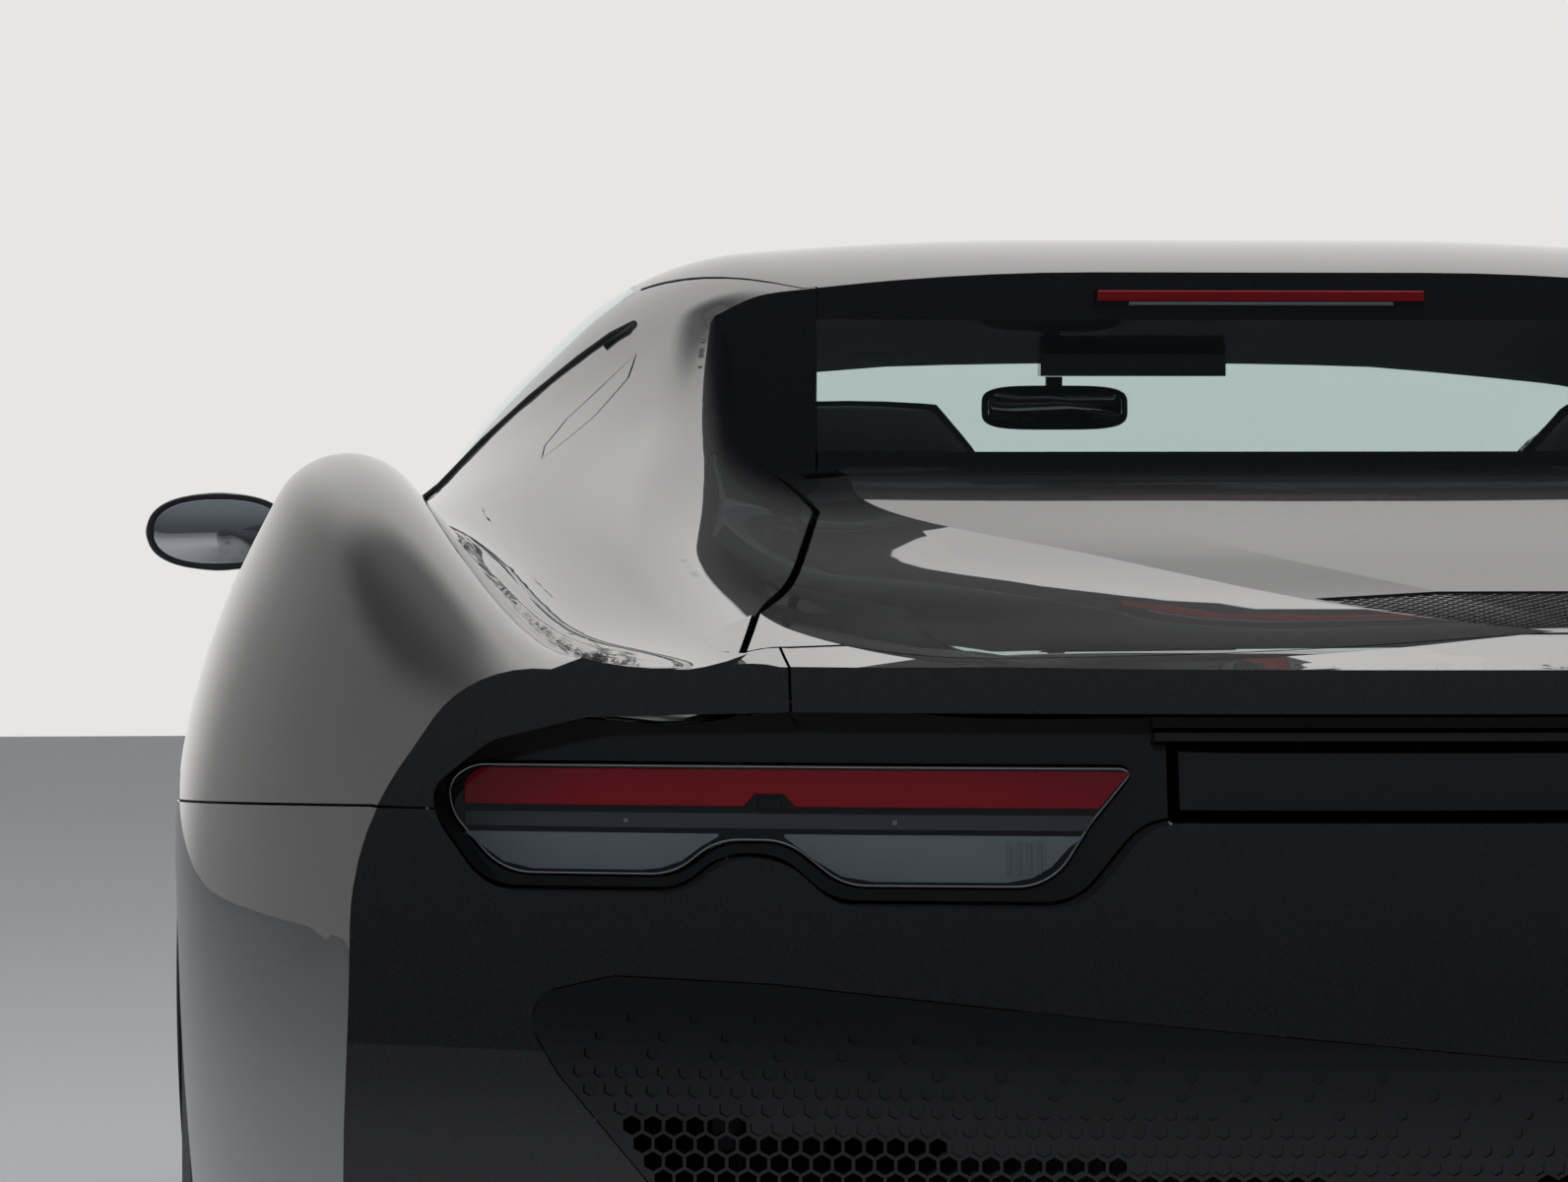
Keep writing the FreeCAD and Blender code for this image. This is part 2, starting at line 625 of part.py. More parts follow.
def engine_lid():
    edge = [(x - gap, y) for x, y in LID_EDGE]
    outline = ((0, LID_FRONT - gap), (edge[0][0], LID_FRONT - gap), edge[1], (edge[2][0], LID_REAR + gap),
               (0, LID_REAR + gap))
    arm = block((397, 420), (-700, LID_AXIS[0] + 10), (LID_AXIS[1] - 10, LID_AXIS[1] + 10))
    pin_hole = cylinder(pin_fit, (300, *LID_AXIS), (500, *LID_AXIS))
    opening = prism(DECK_MESH, "Z", 780, 1005)
    return across(panel(prism(outline, "Z", 780, 1005), arm).cut(Part.makeCompound([pin_hole, opening])))


def rear_quarter():
    """Rear wing with the flying buttress over it."""
    line = size("sill_line") + seam
    side = prism(((-200, HIGH), (-200, 850), (-305, 850), (-305, line), (-1357, line),
                  (-1400, WAIST_FRONT + seam),
                  (LID_REAR, WAIST_LINE + seam), (-2400, WAIST_LINE + seam), (-2400, HIGH)), "X", 0, REACH)
    plan = prism(((REACH, DOOR_REAR - 8), (REACH, -2400), (588 + seam, -2400), (588 + seam, LID_REAR - seam),
                  (LID_EDGE[2][0] + gap, LID_REAR - seam), (455 + gap, -1000), (455 + gap, LID_FRONT),
                  (455 + seam, LID_FRONT),
                  (455 + seam, ROOF_REAR - 10), (400 + 2 * seam, ROOF_REAR - 10),
                  (400 + 2 * seam, ROOF_REAR + 5),
                  (412 + 2 * seam, ROOF_REAR + 5), (ROOF_EDGE + gap, -232 - 8), (766, DOOR_REAR + 24),
                  (780, DOOR_REAR + 24), (943, DOOR_REAR - 8)), "Z", 0, HIGH)
    carrier = block((size("sill_outer"), REACH), (-425, -350), (560, 680))
    housing = prism(((-900, line), (rear_axle, line), (rear_axle, 800), (-900, 800)), "X", 500, REACH)
    shape = panel(side.common(plan), carrier, cuts=[arches, from_behind(RECESS)], walls=[recess_walls])
    return joined(shape, liner(rear_centre, size("arch_rear_radius"), housing))


def tail_lip():
    region = block((0, 588 - seam), (-2400, LID_REAR - gap), (LAMP_LINE, 1000))
    return across(panel(region, cuts=[from_behind(RECESS)], walls=[recess_walls]))


def rear_bumper():
    region = prism(((-1400, WAIST_FRONT - seam), (-1400, 60), (-2400, 60), (-2400, LAMP_LINE - 2 * seam),
                    (LID_REAR, LAMP_LINE - 2 * seam), (LID_REAR, WAIST_LINE - seam)), "X", 0, REACH)
    outside = block((588 - seam, REACH), (-2400, -2000), (WAIST_LINE - seam, 900))
    holes = [arches, from_behind(MESH_OUTLINE), from_behind(RECESS), diffuser_region(seam)]
    carrier = block((560, size("beam_half_width")), (-2290, size("rear_beam")), (310, 370))
    housing = block((500, REACH), (-1800, -1420), (180, WAIST_FRONT - seam))
    inner = liner(rear_centre, size("arch_rear_radius"), housing)
    return across(panel(region.cut(outside), carrier, cuts=holes, walls=[recess_walls, inner]))


def tail_panel():
    """Dark floor of the recess, with the lamps and the spoiler blade let into it."""
    floor = recess_face.common(from_behind(RECESS)).cut(recess_back)
    blade_hole = block((-1, size("spoiler_half_width") + 5), (-2400, -2100), (775, 822))
    return across(floor.cut(from_behind(LAMP_OUTLINE)).cut(blade_hole))


def tail_lamp():
    return lens_face.common(from_behind(LAMP_OUTLINE)).cut(recess_back)


EXHAUST_PLACE, EXHAUST_END = (90, 505), -2276


def rear_mesh():
    """Panel of honeycomb across the lower tail."""
    plate = skin.common(from_behind(MESH_OUTLINE))
    x, z = EXHAUST_PLACE
    outlet = cylinder(size("exhaust_radius") + size("shut_gap"), (x, -2400, z), (x, -2000, z))
    return across(plate.cut(honeycomb("Y", (-2400, -2000), 400, 5,
                                      lambda row: 640 - (4 - row) * 42)).cut(outlet))


CELL, PITCH = 17, 44


def honeycomb(axis, depth, start, rows, half_width):
    """Staggered rows of hexagonal holes on one side of the middle plane."""
    cells = []
    for row in range(rows):
        level = start + row * PITCH * math.sin(math.radians(60))
        shift = PITCH / 2 if row % 2 else 0
        for column in range(int((half_width(row) - shift) // PITCH) + 1):
            x = column * PITCH + shift
            corners = [(x + CELL * math.sin(math.radians(a)),
                        level + CELL * math.cos(math.radians(a))) for a in range(0, 360, 60)]
            cells.append(prism(corners, axis, *depth))
    return Part.makeCompound(cells)


GRILLE_FACE = 2225


def front_grilles():
    """Honeycomb plates across the nose's intakes, folded to follow its sweep."""
    face = [(x, GRILLE_FACE - NOSE_SWEEP + math.sqrt(NOSE_SWEEP ** 2 - x ** 2)) for x in (0, 300, 470, 620,
                                                                                          800)]
    back = [(x, y - PANEL_WALL) for x, y in reversed(face)]
    plates = prism(face + back, "Z", 150,
                   400).common(Part.makeCompound([from_ahead(outline) for outline in INTAKES]))
    return across(plates.cut(honeycomb("Y", (1800, 2400), 215, 4, lambda row: 740)))


DECK_MESH = ((-1, -1750), (178, -1750), (92, -2060), (-1, -2060))


def deck_mesh():
    plate = skin.common(prism(DECK_MESH, "Z", 800, 1000))
    return across(plate.cut(honeycomb("Z", (800, 1000), -2036, 7, lambda row: 62 + row * 11)))


FLAP_PLAN = ((662, -722), (655, -655), (632, -585), (565, -500), (578, -575), (612, -652))


def grown_flap():
    return inset(FLAP_PLAN, -size("seam_gap"), None)


def fuel_flap():
    """Lens-shaped flap on the left buttress."""
    return mirrored(skin.common(prism(FLAP_PLAN, "Z", 900, HIGH)))


def high_brake_lamp():
    return block((-150, 150), (ROOF_REAR - 8, ROOF_REAR), (1122, 1137))


def liner(centre, radius, region):
    """Thin arch of the wheel housing, inside the body."""
    axle_y, axle_z = centre
    ring = cylinder(radius + 4, (600, axle_y, axle_z), (REACH, axle_y, axle_z)).cut(arch(centre, radius, 560))
    return body_out.common(ring.common(region))


def diffuser_region(grow):
    return block((-1, 560 + grow), (-2400, -1760 + grow), (60, 330 + grow))


def diffuser():
    """Rising tray under the tail with its fins."""
    tray = prism(((-1770, 190), (-2240, 320), (-2240, 328), (-1770, 200)), "X", 0, 555)
    fins = [prism(((-1800, 150), (-2230, 200), (-2230, 320), (-1800, 202)), "X", x,
                  x + 8) for x in (120, 300, 480)]
    hanger = block((430, 520), (-2055, -2015), (262, size("rear_rail_bottom")))
    return across(joined(tray, *fins, hanger))


def rear_spoiler():
    """Blade between the tail lamps that slides out of the tail on two rods."""
    box = block((0, size("spoiler_half_width")), (-2400, -2260 + size("spoiler_depth")),
                (780, 780 + size("spoiler_wall")))
    blade = lens_face.common(box)
    rod = cylinder(9, (220, -2140, 798), (220, -1900, 798))
    return across(joined(blade, rod))


def turned(profile):
    """Ring about X from its (x, radius) outline."""
    outline = [Vector(x, 0, r) for x, r in profile]
    return Part.Face(Part.makePolygon(outline + outline[:1])).revolve(Vector(0, 0, 0), Vector(1, 0, 0), 360)


def tyre(name, axle, side):
    """Road tyre on its axle: a sketch of walls and tread, turned about the wheel's axis."""
    half, outer = f"sizes.tyre_{axle}_width / 2", f"sizes.tyre_{axle}_radius"
    bead = "sizes.rim_radius + sizes.bead_gap"
    wall_rows = (("18", bead), ("18", "268"), ("2", "290"), ("0", "305"), ("6", f"{outer} - 18"),
                 ("26", outer))
    rows = [(f"{step} - {half}", r) for step, r in wall_rows] + [(f"{half} - {step}", r) for step,
                                                                 r in reversed(wall_rows)]
    body = doc.addObject("PartDesign::Body", name)
    outline = body.newObject("Sketcher::SketchObject", name + "_section")
    outline.AttachmentSupport = [(body.Origin.OriginFeatures[4], "")]
    outline.MapMode = "FlatFace"
    guess = size(f"tyre_{axle}_width") / 2, size(f"tyre_{axle}_radius")
    start = [(step - guess[0], r) for step, r in ((18, 252), (18, 268), (2, 290), (0, 305),
                                                  (6, guess[1] - 18), (26, guess[1]))]
    start += [(-x, r) for x, r in reversed(start)]
    for index, (x, r) in enumerate(start):
        ahead_x, ahead_r = start[(index + 1) % len(start)]
        outline.addGeometry(Part.LineSegment(Vector(x, r, 0), Vector(ahead_x, ahead_r, 0)), False)
    for index, (across_formula, radius_formula) in enumerate(rows):
        outline.addConstraint(Sketcher.Constraint("Coincident", index, 2, (index + 1) % len(rows), 1))
        for kind, formula, value in (("DistanceX", across_formula, start[index][0]),
                                     ("DistanceY", radius_formula, start[index][1])):
            number = outline.addConstraint(Sketcher.Constraint(kind, -1, 1, index, 1, value))
            outline.setExpression(f"Constraints[{number}]", formula)
    ring = body.newObject("PartDesign::Revolution", name + "_ring")
    ring.Profile = outline
    ring.ReferenceAxis = (outline, ["H_Axis"])
    ring.Angle = 360
    sign = "-" if side == "left" else ""
    body.setExpression("Placement.Base.x", f"{sign}sizes.track_{axle} / 2")
    behind = " - sizes.wheelbase" if axle == "rear" else ""
    body.setExpression("Placement.Base.y", "sizes.body_length / 2 - sizes.front_overhang" + behind)
    body.setExpression("Placement.Base.z", outer)
    own_node(name, body)


SPOKES = 5


def wheel(width, disc_radius):
    """Rim with its double spokes, hub, brake disc and spindle, about X with the outer face towards +X."""
    half = width / 2
    outer = size("rim_radius")
    inner = outer - size("rim_wall")
    lip = half - 17
    barrel = turned([(-lip, inner), (-lip - 7, inner), (-lip - 7, outer + 11), (-lip, outer + 11),
                     (-lip, outer),
                     (lip, outer), (lip, outer + 11), (lip + 7, outer + 11), (lip + 7, inner), (lip, inner)])
    hub_face = half - 60
    pieces = [barrel, cylinder(72, (hub_face - 30, 0, 0), (hub_face, 0, 0)),
              cylinder(60, (-18, 0, 0), (hub_face, 0, 0)),
              cylinder(size("spindle_radius"), (-62, 0, 0), (0, 0, 0)),
              cylinder(disc_radius, (-14, 0, 0), (-14 + size("disc_wall"), 0, 0))]
    for index in range(SPOKES):
        for side in (-1, 1):
            foot = [(hub_face - 28, side * 12), (hub_face - 2, side * 12), (hub_face - 2, side * 34),
                    (hub_face - 28, side * 34)]
            tip = [(lip - 28, side * 22), (lip - 2, side * 22), (lip - 2, side * 44), (lip - 28, side * 44)]
            wires = []
            for outline, r in ((foot, 50), (tip, inner + 3)):
                points = [Vector(x, y, r) for x, y in outline]
                wires.append(Part.makePolygon(points + points[:1]))
            leg = Part.makeLoft(wires, True, True)
            leg.rotate(Vector(0, 0, 0), Vector(1, 0, 0), 360 / SPOKES * index)
            pieces.append(leg)
    return joined(*pieces)


def upright(disc_radius, side):
    """Knuckle with its brake caliper, about the wheel's centre; side -1 puts the caliper behind, 1 ahead."""
    x_pin = -size("kingpin_offset")
    body = block((x_pin - 20, x_pin + 20), (-40, 40), (-120, 120))
    outer, inner = disc_radius + 32, disc_radius - 50
    ring = cylinder(outer, (-34, 0, 0), (30, 0, 0)).cut(cylinder(inner, (-40, 0, 0), (40, 0, 0)))
    caliper = ring.common(block((-40, 40), (100, 300), (-85, 85)))
    caliper = caliper.cut(cylinder(disc_radius + 4, (-18, 0, 0), (22, 0, 0)))
    link = block((-44, -26), (30, inner + 12), (-30, 30))
    holder = joined(caliper, link)
    if side < 0:
        holder = holder.mirror(Vector(0, 0, 0), Vector(0, 1, 0))
    bore = cylinder(size("spindle_radius") + size("running_gap"), (-100, 0, 0), (-19, 0, 0))
    return joined(body, holder).cut(bore)


def steered_upright():
    pin = size("kingpin_radius")
    x_pin = -size("kingpin_offset")
    knuckle = upright(size("disc_front_radius"), -1)
    pins = [upright_cylinder(pin, (x_pin, 0), 115, 155), upright_cylinder(pin, (x_pin, 0), -155, -115)]
    return joined(knuckle, *pins)


def wishbones(centre, tower, hollow):
    """Upper and lower arms from the tower's face to the kingpin."""
    x_pin = centre[0] - size("kingpin_offset")
    y, z = centre[1], centre[2]
    outline = ((tower, y - 130), (tower + 30, y - 130), (x_pin - 130, y - 20), (x_pin + 20, y - 20),
               (x_pin + 20, y + 20),
               (x_pin - 130, y + 20), (tower + 30, y + 130), (tower, y + 130), (tower, y + 95),
               (x_pin - 165, y), (tower, y - 95))
    arms = [prism(outline, "Z", z + low, z + low + 30) for low in (-155, 125)]
    if hollow:
        bore = upright_cylinder(size("kingpin_radius") + size("running_gap"), (x_pin, y), z - 200, z + 200)
        arms = [arm.cut(bore) for arm in arms]
    return arms


def front_suspension():
    return both(Part.makeCompound(wishbones(FRONT_WHEEL, 440, True)))


def rear_suspension():
    arms = wishbones(REAR_WHEEL, 560, False)
    carrier = upright(size("disc_rear_radius"), 1)
    carrier.translate(Vector(*REAR_WHEEL))
    x_pin = REAR_WHEEL[0] - size("kingpin_offset")
    stems = [block((x_pin - 18, x_pin + 18), (REAR_WHEEL[1] - 18, REAR_WHEEL[1] + 18),
                   (REAR_WHEEL[2] + low, REAR_WHEEL[2] + high))
             for low, high in ((-130, -118), (118, 130))]
    return both(joined(carrier, *arms, *stems))


FRONT_WHEEL = (size("track_front") / 2, front_axle, size("tyre_front_radius"))
REAR_WHEEL = (size("track_rear") / 2, rear_axle, size("tyre_rear_radius"))


def at(shape, place):
    moved = shape.copy()
    moved.translate(Vector(*place))
    return moved


def seat():
    """Bucket seat on its rails: cushion, back and bolsters, about its own middle plane."""
    cushion = prism(((190, 150), (200, 330), (170, 352), (-140, 290), (-300, 300), (-300, 150)), "X", -190,
                    190)
    back = prism(((-130, 270), (-150, 330), (-330, 880), (-360, 1030), (-400, 1040), (-440, 880),
                  (-330, 150), (-200, 150)), "X", -160, 160)
    bolster = prism(((150, 200), (150, 370), (-60, 400), (-190, 640), (-260, 800), (-400, 800),
                     (-330, 200)), "X", 160, 235)
    return joined(cushion, back, bolster, bolster.mirror(Vector(0, 0, 0), Vector(1, 0, 0)))


STEER_CENTRE = (-370, 430, 690)
STEER_TILT = -20


def tilted(shape):
    moved = shape.copy()
    moved.rotate(Vector(0, 0, 0), Vector(1, 0, 0), STEER_TILT)
    moved.translate(Vector(*STEER_CENTRE))
    return moved


def steering_wheel():
    """Rim, spokes, boss and shaft, turning about the column."""
    radius = "sizes.steering_wheel_radius"
    rim = bound("Part::Torus", "steering_rim", {"Radius1": radius, "Radius2": "sizes.steering_grip"})
    rim.Placement = Placement(Vector(0, 0, 0), Rotation(Vector(1, 0, 0), -90))
    boss = bound_rod("steering_boss", "45", "0", ("-12", "30"), "0")
    shaft = bound_rod("steering_shaft", "sizes.steering_column_radius", "0", ("0", "260"), "0")
    spokes = [bound_box("spoke_right", ("0", radius), ("-6", "6"), ("-15", "15")),
              bound_box("spoke_left", ("-" + radius, "0"), ("-6", "6"), ("-15", "15")),
              bound_box("spoke_down", ("-14", "14"), ("-6", "6"), ("-" + radius, "0"))]
    wheel_object = fused("steering_wheel", [rim, boss, shaft, *spokes])
    wheel_object.Placement = Placement(Vector(*STEER_CENTRE), Rotation(Vector(1, 0, 0), STEER_TILT))
    own_node("steering_wheel", wheel_object)


def dashboard():
    front = size("footwell_front")
    shelf = prism(((front, 520), (front, 758), (900, 785), (720, 790), (640, 760), (610, 660), (700, 560)),
                  "X", -425, 425)
    wings = prism(((815, 560), (815, 775), (720, 785), (640, 750), (610, 660), (700, 560)), "X", -635, 635)
    console = prism(((800, 150), (800, 600), (640, 600), (480, 420), (-120, 380), (-180, 330), (-180, 150)),
                    "X", -105, 105)
    bore = tilted(cylinder(size("steering_column_radius") + size("running_gap"), (0, -100, 0), (0, 700, 0)))
    return joined(shelf, wings, console).cut(bore)


def luggage_tub():
    """Open-topped bin under the bonnet, bolted to the bulkhead."""
    front = "sizes.footwell_front + sizes.bulkhead_wall"
    wall_formula = "sizes.bin_wall"
    outer = bound_box("bin_outside", ("-sizes.bin_half_width", "sizes.bin_half_width"), (front, "1640"),
                      ("330", "640"))
    inner = bound_box("bin_inside",
                      (f"{wall_formula} - sizes.bin_half_width", f"sizes.bin_half_width - {wall_formula}"),
                      (f"{front} + {wall_formula}", f"1640 - {wall_formula}"),
                      (f"330 + {wall_formula}", "700"))
    own_node("luggage_tub", less("luggage_tub", outer, inner))


def engine_block():
    rear = "sizes.rear_bulkhead"
    own_node("engine_block", bound_box("engine_block", ("-sizes.engine_width / 2", "sizes.engine_width / 2"),
                                       (f"{rear} - sizes.engine_length", rear),
                                       ("200", "200 + sizes.engine_height")))


def exhaust_tips():
    """Two tubes side by side on a bar that seats on the rear beam."""
    x, z = EXHAUST_PLACE
    beam = "sizes.rear_beam"
    tubes, bores, bars = [], [], []
    for side, middle in (("left", -x), ("right", x)):
        tubes.append(bound_rod("tube_" + side, "sizes.exhaust_radius", str(middle),
                               (str(EXHAUST_END), beam), str(z)))
        bores.append(bound_rod("bore_" + side, "sizes.exhaust_radius - sizes.exhaust_wall", str(middle),
                               (str(EXHAUST_END - 10), f"{beam} - 20"), str(z)))
        bars.append(bound_box("bar_" + side, (str(middle - 30), str(middle + 30)), (f"{beam} - 20", beam),
                              ("400", str(z))))
    pipes = less("open_tubes", fused("tubes", tubes), fused("bores", bores))
    own_node("exhaust_tips", fused("exhaust_tips", [pipes, *bars]))


def side_sill():
    line = size("sill_line")
    region = block((size("sill_outer"), REACH), (-950, 848), (60, line))
    return body_out.common(region)


def door_mirror():
    """Housing on its stalk; the stalk's foot is let into the door's shoulder."""
    foot = block((815, 850), (560, 600), (830, 885))
    stalk = prism(((815, 862), (850, 862), (890, 885), (890, 910), (850, 895), (815, 885)), "Y", 565, 595)
    rings = [oval(y, 925, 901, 75 - shrink, 40 - shrink) for y,
             shrink in ((556, 0), (585, 0), (612, 9), (628, 24))]
    shell = Part.makeLoft(rings, True, False)
    return joined(foot, stalk, shell)


def oval(y, x, z, half_x, half_z):
    edge = Part.Ellipse(Vector(0, 0, 0), half_x, half_z).toShape()
    edge.rotate(Vector(0, 0, 0), Vector(1, 0, 0), 90)
    edge.translate(Vector(x, y, z))
    return Part.Wire([edge])


def cabin_mirror():
    glass = bound_box("mirror_case", ("-155", "-5"), ("326", "344"), ("1008", "1052"))
    stem = bound_box("mirror_stem", ("-90", "-70"), ("328", "342"), ("1050", str(MIRROR_TOP)))
    own_node("cabin_mirror", fused("cabin_mirror", [glass, stem]))


def build():
    node("chassis_tub", chassis())
    node("front_subframe", front_subframe())
    node("rear_subframe", rear_subframe())
    node("front_bumper", front_bumper())
    node("bonnet", bonnet())
    right = fender()
    node("front_fenders", both(right))
    node("windscreen_frame", windscreen_frame())
    node("windscreen", windscreen())
    node("hardtop", hardtop())
    node("rear_window", rear_window())
    node("rear_deck", rear_deck())
    node("engine_lid", engine_lid())
    node("tail_lip", tail_lip())
    node("rear_bumper", rear_bumper())
    node("tail_panel", tail_panel())
    node("grilles", Part.makeCompound([front_grilles(), rear_mesh()]))
    node("deck_mesh", deck_mesh())
    node("fuel_flap", fuel_flap())
    node("diffuser", diffuser())
    node("rear_spoiler", rear_spoiler())
    node("headlamps", both(headlamp()))
    node("tail_lamps", Part.makeCompound([both(tail_lamp()), high_brake_lamp()]))
    node("side_sills", both(side_sill()))
    luggage_tub()
    engine_block()
    exhaust_tips()
    node("dashboard", dashboard())
    steering_wheel()
    cabin_mirror()
    node("seats", Part.makeCompound([at(seat(), (x, 0, 0)) for x in (-370, 370)]))
    node("suspension", Part.makeCompound([front_suspension(), rear_suspension()]))
    mirror_right = door_mirror()
    foot = block((815, 850), (560, 600), (830, 885))
    door_right = door().cut(foot)
    quarter = rear_quarter()
    quarter_left = mirrored(quarter.cut(prism(grown_flap(), "Z", 900, HIGH)))
    glass = door_glass()
    wheel_front = wheel(size("tyre_front_width"), size("disc_front_radius"))
    wheel_rear = wheel(size("tyre_rear_width"), size("disc_rear_radius"))
    knuckle = steered_upright()
    pairs = {
        "door": door_right, "door_mirror": mirror_right, "door_glass": glass, "rear_quarter": quarter,
        "wheel_front": at(wheel_front, FRONT_WHEEL), "wheel_rear": at(wheel_rear, REAR_WHEEL),
        "upright_front": at(knuckle, FRONT_WHEEL),
    }
    for name, shape in pairs.items():
        node(name + "_right", shape)
        node(name + "_left", quarter_left if name == "rear_quarter" else mirrored(shape))
    for axle in ("front", "rear"):
        for side in ("right", "left"):
            tyre(f"tyre_{axle}_{side}", axle, side)


build()
doc.recompute()
os.makedirs("parts", exist_ok=True)
for name, feature in nodes.items():
    shape = feature.Shape
    if "Invalid" in feature.State or "Error" in feature.State or shape.isNull() or not shape.isValid():
        raise RuntimeError(f"{name} is not a valid solid")
    shape.exportStep(f"parts/{name}.step")
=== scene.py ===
import json
import math

import bmesh
import bpy
import numpy as np
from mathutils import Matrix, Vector
from mathutils.bvhtree import BVHTree
from mathutils.kdtree import KDTree

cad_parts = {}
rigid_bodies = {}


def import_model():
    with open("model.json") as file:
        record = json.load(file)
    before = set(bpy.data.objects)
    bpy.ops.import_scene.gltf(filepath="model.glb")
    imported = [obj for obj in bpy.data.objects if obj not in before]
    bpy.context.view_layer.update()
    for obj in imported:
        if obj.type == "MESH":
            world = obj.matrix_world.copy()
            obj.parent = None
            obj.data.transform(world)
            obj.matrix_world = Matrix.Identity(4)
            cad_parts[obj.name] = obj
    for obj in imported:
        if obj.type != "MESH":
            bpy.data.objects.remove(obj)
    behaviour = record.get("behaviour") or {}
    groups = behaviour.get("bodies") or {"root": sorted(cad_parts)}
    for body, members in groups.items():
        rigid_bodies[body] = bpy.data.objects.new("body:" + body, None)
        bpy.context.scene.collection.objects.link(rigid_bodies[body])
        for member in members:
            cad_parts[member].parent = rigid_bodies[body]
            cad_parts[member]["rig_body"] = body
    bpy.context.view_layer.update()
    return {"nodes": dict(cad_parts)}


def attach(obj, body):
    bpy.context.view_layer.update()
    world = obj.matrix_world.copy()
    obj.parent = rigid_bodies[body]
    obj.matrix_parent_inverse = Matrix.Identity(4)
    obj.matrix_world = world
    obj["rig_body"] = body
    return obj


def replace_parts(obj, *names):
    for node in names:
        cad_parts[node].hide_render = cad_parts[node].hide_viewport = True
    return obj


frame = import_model()
solids = frame["nodes"]


# The tub, its rails and its crash beams are one black-coated welded structure.
# It carries every panel, and shows only from below, in the open bays and at the sills.
class Shade:
    """A socket of a finish; arithmetic on it adds Math nodes to the same finish."""

    def __init__(self, tree, socket=None):
        self.tree = tree
        self.socket = socket

    def node(self, kind, settings=None, inputs=None, out=0):
        """Adds any shader node: its settings first, then the values or links of its sockets."""
        made = self.tree.nodes.new("ShaderNode" + kind)
        for key, value in (settings or {}).items():
            setattr(made, key, value)
        for key, value in (inputs or {}).items():
            if isinstance(value, Shade):
                self.tree.links.new(value.socket, made.inputs[key])
            else:
                made.inputs[key].default_value = value
        return Shade(self.tree, made.outputs[out] if made.outputs else None)

    def math(self, operation, *values):
        return self.node("Math", {"operation": operation}, dict(enumerate(values)))

    def __add__(self, other):
        return self.math("ADD", self, other)

    __radd__ = __add__

    def __sub__(self, other):
        return self.math("SUBTRACT", self, other)

    def __rsub__(self, other):
        return self.math("SUBTRACT", other, self)

    def __mul__(self, other):
        return self.math("MULTIPLY", self, other)

    __rmul__ = __mul__

    def part(self, index):
        return self.node("SeparateXYZ", inputs={0: self}, out=index)

    def between(self, start, end):
        """0 where it is at start, 1 at end, smooth between them."""
        return self.node("MapRange", {"interpolation_type": "SMOOTHSTEP"},
                         {0: self, 1: start, 2: end, 3: 0.0, 4: 1.0})

    def blend(self, first, second):
        """Colour that goes from the first to the second as this value goes from 0 to 1."""
        return self.node("Mix", {"data_type": "RGBA"}, {0: self, 6: first, 7: second}, out=2)

    def bump(self, strength, distance):
        """Normal of a surface that this height raises."""
        return self.node("Bump", {}, {"Strength": strength, "Distance": distance, "Height": self})


def finish(name, look):
    """A finish; look gives its shader, or the values of a principled one, from places in the car's frame."""
    material = bpy.data.materials.new(name)
    material.use_nodes = True
    material.node_tree.nodes.clear()
    place = Shade(material.node_tree).node("TexCoord", out=3)
    surface = look(place)
    if isinstance(surface, dict):
        surface = place.node("BsdfPrincipled", {}, surface)
    place.node("OutputMaterial", {}, {"Surface": surface})
    return material


def tones(colour, dark, light):
    """A darker and a lighter tone of a colour."""
    return [tuple(c * share for c in colour) + (1,) for share in (dark, light)]


def grain(place, scale, detail=2.0):
    return place.node("TexNoise", {}, {"Vector": place, "Scale": scale, "Detail": detail, "Roughness": 0.5})


def coated(name, colour, roughness, metallic=0.0, coat=0.0, vary=0.06, bump=0.0, bump_scale=900.0):
    """A plain finish whose colour and roughness wander a little over the surface."""
    def look(place):
        cloud = grain(place, 9.0, 3.0)
        values = {"Base Color": cloud.blend(*tones(colour, 1 - vary, 1 + vary)), "Metallic": metallic,
                  "Roughness": roughness * 0.92 + cloud * (roughness * 0.16), "Coat Weight": coat,
                  "Coat Roughness": 0.03}
        if bump:
            values["Normal"] = grain(place, bump_scale).bump(bump, 0.0006)
        return values

    return finish(name, look)


def dress(material, *names):
    """Puts a finish on solids of the CAD model."""
    for name in names:
        solids[name].data.materials.clear()
        solids[name].data.materials.append(material)


tub_black = coated("tub_black", (0.018, 0.018, 0.02), 0.55, bump=0.25, bump_scale=260.0)
dress(tub_black, "chassis_tub", "front_subframe", "rear_subframe")


# Forged arms and uprights carry the wheels; the calipers are anodised castings over the discs.
# They show through the spokes and from below.
cast_grey = coated("cast_grey", (0.2, 0.2, 0.21), 0.45, metallic=0.8, bump=0.3, bump_scale=420.0)
dress(cast_grey, "suspension")
caliper_dark = coated("caliper_dark", (0.09, 0.09, 0.1), 0.32, metallic=0.6, bump=0.15, bump_scale=500.0)
dress(caliper_dark, "upright_front_left", "upright_front_right")


